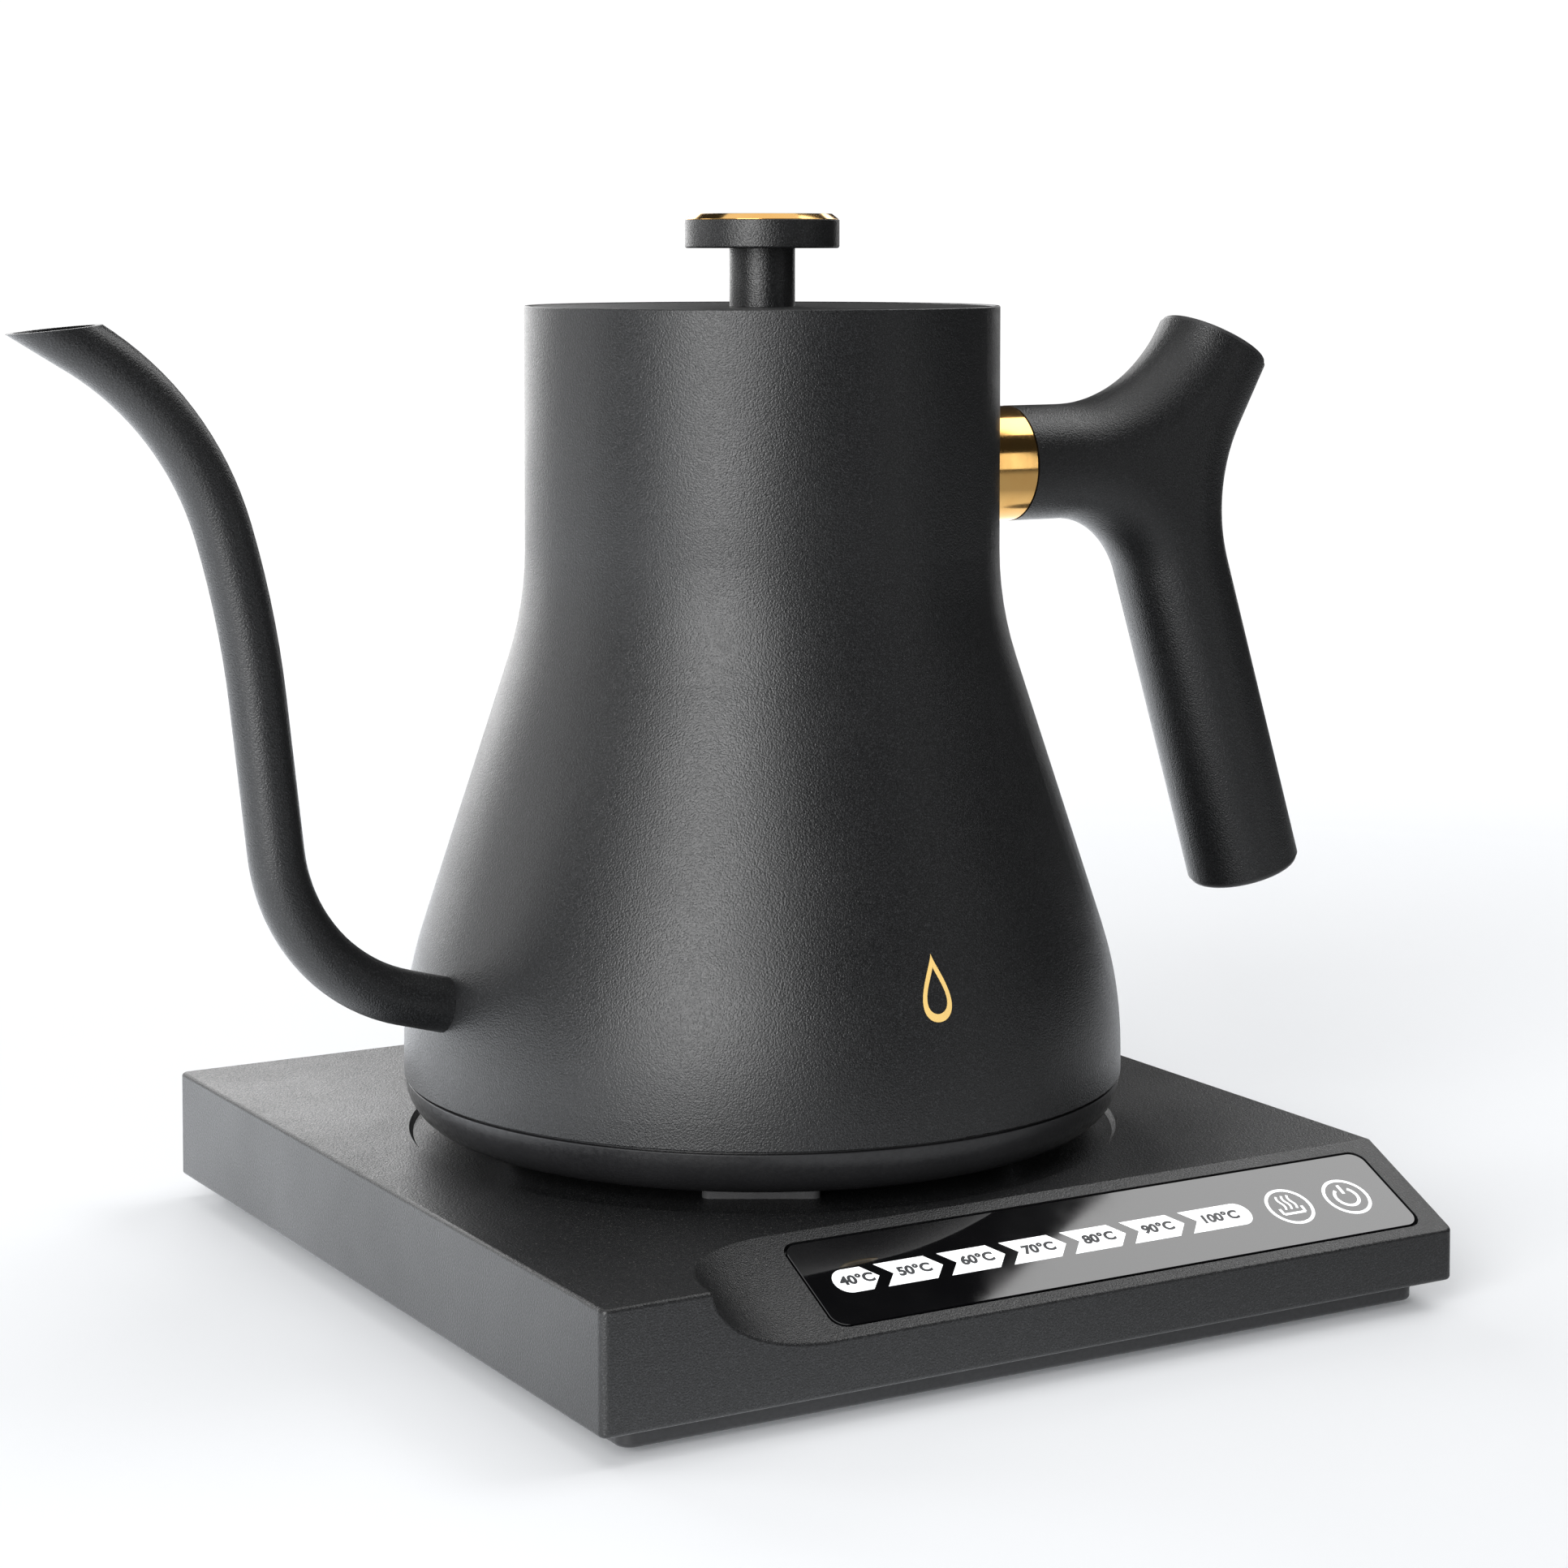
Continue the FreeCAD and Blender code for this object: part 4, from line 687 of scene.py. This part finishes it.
class KETTLE_OT_touch_panel(bpy.types.Operator):
    """Builds the bevelled black glass, its temperature tags and its two touch icons"""
    bl_idname = "kettle.touch_panel"
    bl_label = "Touch Panel"

    def execute(self, context):
        settings = context.scene.kettle_panel
        self.make_glass()
        self.make_tags(settings)
        self.make_digits(settings)
        self.make_icons(settings)
        return {"FINISHED"}

    def make_glass(self):
        left = GLASS_LOW.x - CASING_LOW.x
        right = GLASS_HIGH.x - CASING_LOW.x
        low = (GLASS_LOW.y - CASING_LOW.y) / math.cos(PANEL_ANGLE)
        high = (GLASS_HIGH.y - CASING_LOW.y - GLASS_THICK * math.sin(PANEL_ANGLE)) / math.cos(PANEL_ANGLE)
        shape = bmesh.new()
        rows = []
        for inset, height in ((0.0, -GLASS_THICK), (0.0, -GLASS_BEVEL),
                              (GLASS_BEVEL * 0.3, -GLASS_BEVEL * 0.3), (GLASS_BEVEL, 0.0)):
            corner = GLASS_CORNER - inset
            points = rounded([
                (left + inset, low + inset, corner), (right - inset, low + inset, corner),
                (right - inset, high - inset, corner), (left + inset, high - inset, corner)])
            rows.append([shape.verts.new(on_panel(x, up, height)) for x, up in points])
        for lower, upper in zip(rows, rows[1:]):
            band(shape, lower, upper)
        shape.faces.new(rows[0][::-1])
        shape.faces.new(rows[-1])
        finish_mesh("glass_panel", mesh_from(shape), "panel_glass", "base", ("control_glass",), sharp=15)

    def make_tags(self, settings):
        shape = bmesh.new()
        for index in range(settings.tag_count):
            flat_prism(shape, tag_outline(index, settings), MARK_LOW, MARK_HIGH, on_panel)
        finish_mesh("temperature_tags", mesh_from(shape), "tag_white", "base")

    def make_digits(self, settings):
        """Sets each temperature in the middle of its tag."""
        shape = bmesh.new()
        for index in range(settings.tag_count):
            words = bpy.data.curves.new("digits", "FONT")
            words.body = "%d°C" % (settings.first_degrees + settings.degree_step * index)
            words.size = settings.digit_size
            words.align_x = "CENTER"
            words.align_y = "CENTER"
            words.offset = DIGIT_OFFSET
            words.bevel_depth = DIGIT_WEIGHT
            holder = place_object("digits", words)
            mesh = evaluated_mesh(holder)
            centre = settings.second_tag + settings.tag_pitch * (index - 1) + DIGIT_INSET
            if index == 0:
                centre = settings.tag_start + FIRST_DIGIT_INSET
            if index == settings.tag_count - 1:
                centre = settings.tag_end - DIGIT_INSET
            middle = PANEL_LENGTH - settings.tag_middle
            for vertex in mesh.vertices:
                vertex.co = on_panel(centre + vertex.co.x * DIGIT_STRETCH, middle + vertex.co.y,
                                     MARK_HIGH + DIGIT_LIFT + vertex.co.z * DIGIT_FLATTEN)
            shape.from_mesh(mesh)
            bpy.data.meshes.remove(mesh)
            bpy.data.objects.remove(holder)
            bpy.data.curves.remove(words)
        finish_mesh("temperature_digits", mesh_from(shape), "digit_black", "base")

    def make_icons(self, settings):
        """A keep-warm sign and a power sign, each in a ring."""
        shape = bmesh.new()
        middle = PANEL_LENGTH - settings.tag_middle
        outer = settings.icon_radius
        line = ICON_LINE
        warm = (WARM_PLACE, middle - ICON_DROP)
        power = (POWER_PLACE, middle - ICON_DROP)
        for centre in (warm, power):
            ring_prism(shape, centre, outer - line, outer, MARK_LOW, MARK_HIGH, on_panel)
        ring_prism(shape, power, outer * 0.42, outer * 0.42 + line, MARK_LOW, MARK_HIGH, on_panel,
                   math.radians(125), math.radians(290))
        stroke_prism(shape, [(power[0], middle + outer * 0.12), (power[0], middle + outer * 0.62)], line,
                     MARK_LOW, MARK_HIGH, on_panel)
        tray = [(warm[0] + outer * across, middle + outer * up)
                for across, up in ((-0.52, -0.12), (-0.5, -0.44), (0.5, -0.44), (0.52, -0.12))]
        for start, end in zip(tray, tray[1:]):
            stroke_prism(shape, [start, end], line * 0.85, MARK_LOW, MARK_HIGH, on_panel)
        for column in (-0.26, 0.0, 0.26):
            wave = []
            for step in range(13):
                share = step / 12
                wave.append((warm[0] + outer * (column + 0.06 * math.sin(share * 2 * math.pi)),
                             middle + outer * (-0.2 + 0.75 * share)))
            stroke_prism(shape, wave, line * 0.7, MARK_LOW, MARK_HIGH, on_panel)
        finish_mesh("touch_icons", mesh_from(shape), "tag_white", "base")


# ---------------------------------------------------------------- lid, knob and ferrule

CAP_CHAMFER = 1.5 * MM
BORE_SHARE = 0.3
FERRULE_BORE = 4.0 * MM
NECK_RADIUS = 47.1 * MM


class KETTLE_OT_turned_fittings(bpy.types.Operator):
    """Builds the knob with its gold cap and the gold ferrule of the handle"""
    bl_idname = "kettle.turned_fittings"
    bl_label = "Turned Fittings"

    def execute(self, context):
        edge = context.scene.kettle_fittings.edge_round
        self.make_knob(edge)
        self.make_ferrule(edge)
        return {"FINISHED"}

    def make_knob(self, edge):
        rim = CAP_HIGH.x
        finish_mesh("gold_cap", turned_mesh([
            (0.0, CAP_LOW.z), (rim, CAP_LOW.z, edge * 0.3), (rim - CAP_CHAMFER, CAP_HIGH.z, edge),
            (0.0, CAP_HIGH.z)]), "gold", "lid", ("knob_gold_cap",))
        hole = -STEM_LOW.x * BORE_SHARE
        finish_mesh("knob_plate", turned_mesh([
            (0.0, DISC_LOW.z), (DISC_HIGH.x, DISC_LOW.z, edge * 1.4),
            (DISC_HIGH.x, DISC_HIGH.z, edge * 0.4), (0.0, DISC_HIGH.z)]),
            "knob_coat", "lid", ("knob_disc",))
        finish_mesh("knob_neck", turned_mesh([
            (hole, STEM_LOW.z), (STEM_HIGH.x, STEM_LOW.z), (STEM_HIGH.x, STEM_HIGH.z),
            (hole, STEM_HIGH.z)]), "knob_coat", "lid", ("knob_stem",))

    def make_ferrule(self, edge):
        """The sleeve's near end follows the round neck of the vessel."""
        radius = (FERRULE_HIGH.z - FERRULE_LOW.z) / 2
        far = FERRULE_HIGH.x
        long = far - NECK_RADIUS

        def lay_along_x(point):
            share = (long - point.z) / long
            hollow = math.sqrt(NECK_RADIUS ** 2 - point.y ** 2) - NECK_RADIUS
            return Vector((far - long + point.z + share * hollow, point.y, HANDLE_HEIGHT - point.x))

        finish_mesh("gold_ferrule", turned_mesh([
            (FERRULE_BORE, 0.0), (radius, 0.0, edge), (radius, long, edge),
            (FERRULE_BORE, long)], lay_along_x),
            "ferrule_gold", "kettle", ("handle_ferrule",))


# ---------------------------------------------------------------- emblem

EMBLEM_TURN = math.radians(268)
EMBLEM_LOW = 0.01 * MM
EMBLEM_HIGH = 0.08 * MM
EMBLEM_POINTS = 72
RAY_START = 0.2


def vessel_surface():
    """The vessel's faces, ready for rays to be cast at them."""
    mesh = frame["nodes"]["kettle_body"].data
    return BVHTree.FromPolygons([vertex.co for vertex in mesh.vertices],
                                [face.vertices for face in mesh.polygons])


class KETTLE_OT_drop_emblem(bpy.types.Operator):
    """Lays a plain gold water drop on the vessel's belly"""
    bl_idname = "kettle.drop_emblem"
    bl_label = "Drop Emblem"

    def execute(self, context):
        settings = context.scene.kettle_fittings
        height = settings.emblem_height
        level = settings.emblem_level

        surface = vessel_surface()
        outward = Vector((math.cos(EMBLEM_TURN), math.sin(EMBLEM_TURN), 0.0))
        aside = Vector((-outward.y, outward.x, 0.0))

        def on_belly(across, up, lift):
            start = outward * RAY_START + aside * across + Vector((0.0, 0.0, level + up))
            place, normal, _, _ = surface.ray_cast(start, -outward)
            return place + normal * lift

        shape = bmesh.new()
        outer = self.drop_outline(height)
        inner = self.drop_outline(height * 0.7)
        columns = []
        for (x_out, y_out), (x_in, y_in) in zip(outer, inner):
            shift = -height * 0.03
            columns.append([shape.verts.new(on_belly(*place)) for place in (
                (x_in, y_in + shift, EMBLEM_LOW), (x_out, y_out, EMBLEM_LOW),
                (x_out, y_out, EMBLEM_HIGH), (x_in, y_in + shift, EMBLEM_HIGH))])
        for first, second in zip(columns, columns[1:] + columns[:1]):
            band(shape, first, second)
        finish_mesh("drop_emblem", mesh_from(shape), "mark_gold", "kettle")
        return {"FINISHED"}

    def drop_outline(self, height):
        """A drop: round below, drawn to a point above."""
        points = []
        for index in range(EMBLEM_POINTS):
            angle = 2 * math.pi * index / EMBLEM_POINTS
            points.append((height * 0.36 * math.sin(angle) * math.sin(angle / 2) ** 1.6,
                           height * 0.5 * math.cos(angle)))
        return points


# ---------------------------------------------------------------- screws

SCREW_HEAD = 3.0 * MM
HEAD_HEIGHT = 1.6 * MM
SHANK = 1.5 * MM
COVER_SCREW_CIRCLE = 56.0 * MM
COVER_SCREW_ANGLES = (60, 180, 300)


def screw_field_tree():
    """Instances a screw on each point, each turned by its own fixed amount."""
    tree = bpy.data.node_groups.new("screw_field", "GeometryNodeTree")
    for label, kind in (("Points", "Geometry"), ("Screw", "Object"), ("Size", "Float"),
                        ("Turn Seed", "Int"), ("Finish", "Material")):
        tree.interface.new_socket(label, in_out="INPUT", socket_type="NodeSocket" + kind)
    tree.interface.new_socket("Screws", in_out="OUTPUT", socket_type="NodeSocketGeometry")
    given = tree.nodes.new("NodeGroupInput").outputs
    result = tree.nodes.new("NodeGroupOutput").inputs
    screw = add(tree, "GeometryNodeObjectInfo", {"Object": given["Screw"]}).outputs["Geometry"]
    turn = add(tree, "FunctionNodeRandomValue", {"Seed": given["Turn Seed"], 2: 0.0, 3: 2 * math.pi},
               data_type="FLOAT").outputs[1]
    angles = add(tree, "ShaderNodeCombineXYZ", {"Z": turn}).outputs[0]
    rotation = add(tree, "FunctionNodeEulerToRotation", {0: angles}).outputs[0]
    placed = add(tree, "GeometryNodeInstanceOnPoints", {
        "Points": given["Points"], "Instance": screw, "Rotation": rotation, "Scale": given["Size"],
    }).outputs[0]
    real = add(tree, "GeometryNodeRealizeInstances", {0: placed}).outputs[0]
    coloured = add(tree, "GeometryNodeSetMaterial", {"Geometry": real, "Material": given["Finish"]})
    tree.links.new(coloured.outputs[0], result["Screws"])
    return tree


def field_mesh(points, tree, values):
    """Runs a node tree on loose points and returns the result as a plain mesh."""
    cloud = bpy.data.meshes.new("field_points")
    cloud.from_pydata([tuple(point) for point in points], [], [])
    holder = place_object("field_points", cloud)
    modifier = holder.modifiers.new("field", "NODES")
    modifier.node_group = tree
    for item in tree.interface.items_tree:
        if item.item_type == "SOCKET" and item.in_out == "INPUT" and item.name in values:
            modifier[item.identifier] = values[item.name]
    mesh = evaluated_mesh(holder)
    holder.modifiers.remove(modifier)
    bpy.data.objects.remove(holder)
    bpy.data.meshes.remove(cloud)
    return mesh


class KETTLE_OT_screws(bpy.types.Operator):
    """Builds the domed, slotted screws under the base and under the kettle"""
    bl_idname = "kettle.screws"
    bl_label = "Screws"

    def execute(self, context):
        seed = context.scene.kettle_fittings.screw_turn_seed
        tree = screw_field_tree()
        for name, node, body, places in (
                ("casing_screws", "base_screws", "base", self.corner_places("base_screws")),
                ("cover_screws", "bottom_cover_screws", "kettle", self.circle_places())):
            low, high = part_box(node)
            screw = self.make_screw(high.z - low.z)
            mesh = field_mesh([(x, y, low.z) for x, y in places], tree, {
                "Screw": screw, "Size": 1.0, "Turn Seed": seed, "Finish": FINISHES["zinc"]})
            bpy.data.objects.remove(screw)
            if not mesh.polygons:
                raise RuntimeError("the screws came out empty")
            finish_mesh(name, mesh, "zinc", body, (node,))
        return {"FINISHED"}

    def corner_places(self, node):
        low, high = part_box(node)
        return [(x, y) for x in (low.x + SCREW_HEAD, high.x - SCREW_HEAD)
                for y in (low.y + SCREW_HEAD, high.y - SCREW_HEAD)]

    def circle_places(self):
        turns = [math.radians(angle) for angle in COVER_SCREW_ANGLES]
        return [(COVER_SCREW_CIRCLE * math.cos(turn), COVER_SCREW_CIRCLE * math.sin(turn))
                for turn in turns]

    def make_screw(self, long):
        """One screw, head down, with a slot across its domed head."""
        mesh = turned_mesh([
            (0.0, 0.0), (SCREW_HEAD, 0.0, 0.8 * MM), (SCREW_HEAD, HEAD_HEIGHT, 0.15 * MM),
            (SHANK, HEAD_HEIGHT), (SHANK, long - 0.5 * MM), (0.6 * SHANK, long), (0.0, long)], sides=32)
        screw = place_object("screw", mesh)
        cutter_mesh = bpy.data.meshes.new("slot")
        cutter = bmesh.new()
        bmesh.ops.create_cube(cutter, size=1.0, matrix=Matrix.Translation((0, 0, 0.2 * MM))
                              @ Matrix.Diagonal((2.4 * SCREW_HEAD, 0.8 * MM, 1.2 * MM, 1.0)))
        cutter.to_mesh(cutter_mesh)
        cutter.free()
        tool = place_object("slot", cutter_mesh)
        cut = screw.modifiers.new("slot", "BOOLEAN")
        cut.object = tool
        cut.solver = "EXACT"
        shaped = evaluated_mesh(screw)
        screw.modifiers.remove(cut)
        screw.data = shaped
        bpy.data.objects.remove(tool)
        return screw


# ---------------------------------------------------------------- finishes and studio


class KETTLE_OT_finishes(bpy.types.Operator):
    """Makes every material and gives each carried-over node its own"""
    bl_idname = "kettle.finishes"
    bl_label = "Finishes"

    def execute(self, context):
        FINISHES.update(make_finishes())
        for entry in frame["record"]["subparts"]:
            node = frame["nodes"][entry["node"]]
            material = FINISHES[entry["material_slot"]]
            for slot in node.material_slots:
                slot.material = material
        return {"FINISHED"}


FLOOR_REACH = 1.2
FLOOR_FADE = (0.55, 1.1)
BRIGHT_SIDE = (-0.5, 0.866, 0.0)
OBJECT_MIDDLE = Vector((0.0, 0.0, 0.11))
ABOVE = 1.3
# Each box: its name, its setting, degrees to the camera's left, distance, height, width and height.
SOFTBOXES = (
    ("key_strip", "key_strength", 21, 1.15, 0.42, 0.72, 1.0),
    ("back_left", "back_strength", 150, 1.25, 0.42, 1.05, 0.84),
    ("side_left", "side_strength", 96, 1.3, 0.45, 0.5, 0.9),
    ("back_right", "rim_strength", -158, 1.2, 0.40, 0.22, 0.8),
    ("fill_right", "fill_strength", -66, 1.1, 0.27, 0.14, 0.5),
    ("cap_light", "cap_strength", -150, 1.1, 0.68, 0.4, 0.35),
)


def facing_light(name, place, target, width, height, radiance):
    """A rectangular softbox that faces a point. Its power follows from its brightness and area."""
    lamp = bpy.data.lights.new(name, "AREA")
    lamp.shape = "RECTANGLE"
    lamp.size = width
    lamp.size_y = height
    lamp.energy = radiance * math.pi * width * height
    holder = place_object(name, lamp)
    holder.location = place
    holder.rotation_euler = (Vector(target) - Vector(place)).to_track_quat("-Z", "Y").to_euler()
    return holder


class KETTLE_OT_studio(bpy.types.Operator):
    """Sets the pale floor, the soft lights, the white surroundings and the camera"""
    bl_idname = "kettle.studio"
    bl_label = "Studio"

    def execute(self, context):
        settings = context.scene.kettle_studio
        self.make_floor()
        self.make_lights(settings)
        self.make_surroundings(context)
        self.make_camera(context, settings)
        return {"FINISHED"}

    def make_floor(self):
        """A pale sheet that fades out, so that it has no far edge. To the camera it is white with a faint
        painted glow; to the object it is a dim grey whose painted glow grows towards the back left, where
        it lights the object.
        """
        made, tree, shader = start_material("floor", Specular_IOR_Level=0.0)
        place = object_place(tree)
        away = add(tree, "ShaderNodeVectorMath", {0: place}, operation="LENGTH").outputs["Value"]
        feed(tree, shader, Alpha=spread(tree, away, *FLOOR_FADE, 1.0, 0.0))
        cloud = noise(tree, place, 4.0)
        seen = add(tree, "ShaderNodeLightPath").outputs["Is Camera Ray"]
        white = blend_colour(tree, cloud, (0.78, 0.79, 0.805, 1.0), (0.81, 0.82, 0.835, 1.0))
        mixed = blend_colour(tree, seen, (0.25, 0.25, 0.25, 1.0), white)
        feed(tree, shader, Base_Color=mixed)
        shader.inputs["Emission Color"].default_value = (0.93, 0.96, 1.0, 1.0)
        backward = add(tree, "ShaderNodeVectorMath", {0: place, 1: BRIGHT_SIDE},
                       operation="DOT_PRODUCT").outputs["Value"]
        sweep = spread(tree, backward, -0.2, 0.25, 0.2, 2.6)
        unseen = calculate(tree, "SUBTRACT", 1.0, seen)
        painted_glow = calculate(tree, "ADD", calculate(tree, "MULTIPLY", seen, 0.1),
                         calculate(tree, "MULTIPLY", unseen, sweep))
        feed(tree, shader, Emission_Strength=painted_glow)
        feed(tree, shader, Roughness=spread(tree, cloud, 0.3, 0.7, 0.12, 0.16))
        mesh = bpy.data.meshes.new("floor")
        corners = [(x * FLOOR_REACH, y * FLOOR_REACH, 0) for x, y in ((-1, -1), (1, -1), (1, 1), (-1, 1))]
        mesh.from_pydata(corners, [], [(0, 1, 2, 3)])
        mesh.materials.append(made)
        floor = place_object("floor", mesh)

    def make_lights(self, settings):
        towards = Vector((-math.sin(settings.camera_turn), -math.cos(settings.camera_turn), 0.0))
        leftward = Vector((towards.y, -towards.x, 0.0))
        for name, setting, angle, distance, height, wide, tall in SOFTBOXES:
            turn = math.radians(angle)
            place = (towards * math.cos(turn) + leftward * math.sin(turn)) * distance
            facing_light(name, place + Vector((0, 0, height)), OBJECT_MIDDLE, wide, tall,
                         getattr(settings, setting))
        facing_light("overhead", (-0.1, -0.05, ABOVE), (-0.1, -0.05, 0.0), 1.5, 1.5, settings.top_strength)
        self.make_panel_light(settings)

    def make_panel_light(self, settings):
        """A box above on the right, whose slanting near edge shows in the black glass."""
        edge_start, edge_end = Vector((0.833, 0.33, ABOVE)), Vector((0.943, 0.384, ABOVE))
        along = (edge_end - edge_start).normalized()
        wide, long = 0.9, 0.8
        holder = facing_light("panel_light", (0, 0, ABOVE), (0, 0, 0), long, wide, settings.panel_strength)
        inward = Vector((along.y, -along.x, 0.0))
        holder.location = (edge_start + edge_end) / 2 + inward * wide / 2
        holder.rotation_euler = Euler((0.0, 0.0, math.atan2(along.y, along.x)))

    def make_surroundings(self, context):
        """White to the eye and dim to the object."""
        world = bpy.data.worlds.new("surroundings")
        world.use_nodes = True
        tree = world.node_tree
        tree.nodes.clear()
        seen = add(tree, "ShaderNodeLightPath").outputs["Is Camera Ray"]
        bright = add(tree, "ShaderNodeBackground", {"Color": (1, 1, 1, 1), "Strength": 1.05}).outputs[0]
        dim = add(tree, "ShaderNodeBackground", {"Color": (1, 1, 1, 1), "Strength": 0.03}).outputs[0]
        mixed = add(tree, "ShaderNodeMixShader", {0: seen, 1: dim, 2: bright}).outputs[0]
        out = tree.nodes.new("ShaderNodeOutputWorld")
        tree.links.new(mixed, out.inputs["Surface"])
        context.scene.world = world
        context.scene.view_settings.view_transform = "Standard"

    def make_camera(self, context, settings):
        lens = bpy.data.cameras.new("camera")
        lens.lens = settings.lens
        lens.sensor_width = 36.0
        lens.shift_y = settings.shift
        lens.clip_start = 0.01
        camera = place_object("camera", lens)
        camera.location = settings.camera_place
        camera.rotation_euler = Euler((math.pi / 2 - settings.camera_pitch, 0.0, -settings.camera_turn))
        context.scene.camera = camera


# ---------------------------------------------------------------- panel and registration

OPERATORS = (
    KETTLE_OT_finishes,
    KETTLE_OT_touch_panel,
    KETTLE_OT_turned_fittings,
    KETTLE_OT_drop_emblem,
    KETTLE_OT_screws,
    KETTLE_OT_studio,
)
SETTINGS = {
    "kettle_finish": FinishSettings,
    "kettle_panel": PanelSettings,
    "kettle_fittings": FittingSettings,
    "kettle_studio": StudioSettings,
}


class KETTLE_PT_sidebar(bpy.types.Panel):
    bl_label = "Gooseneck Kettle"
    bl_idname = "KETTLE_PT_sidebar"
    bl_space_type = "VIEW_3D"
    bl_region_type = "UI"
    bl_category = "Kettle"

    def draw(self, context):
        for operator in OPERATORS:
            self.layout.operator(operator.bl_idname)
        for name in SETTINGS:
            group = getattr(context.scene, name)
            box = self.layout.box()
            for item in group.bl_rna.properties:
                if not item.is_readonly and item.identifier != "name":
                    box.prop(group, item.identifier)


def register():
    for kind in (*SETTINGS.values(), *OPERATORS, KETTLE_PT_sidebar):
        bpy.utils.register_class(kind)
    for name, kind in SETTINGS.items():
        setattr(bpy.types.Scene, name, bpy.props.PointerProperty(type=kind))


def unregister():
    for name in SETTINGS:
        delattr(bpy.types.Scene, name)
    for kind in (KETTLE_PT_sidebar, *reversed(OPERATORS), *reversed(SETTINGS.values())):
        bpy.utils.unregister_class(kind)


def main():
    register()
    for operator in OPERATORS:
        family, action = operator.bl_idname.split(".")
        getattr(getattr(bpy.ops, family), action)()


if __name__ == "__main__":
    main()
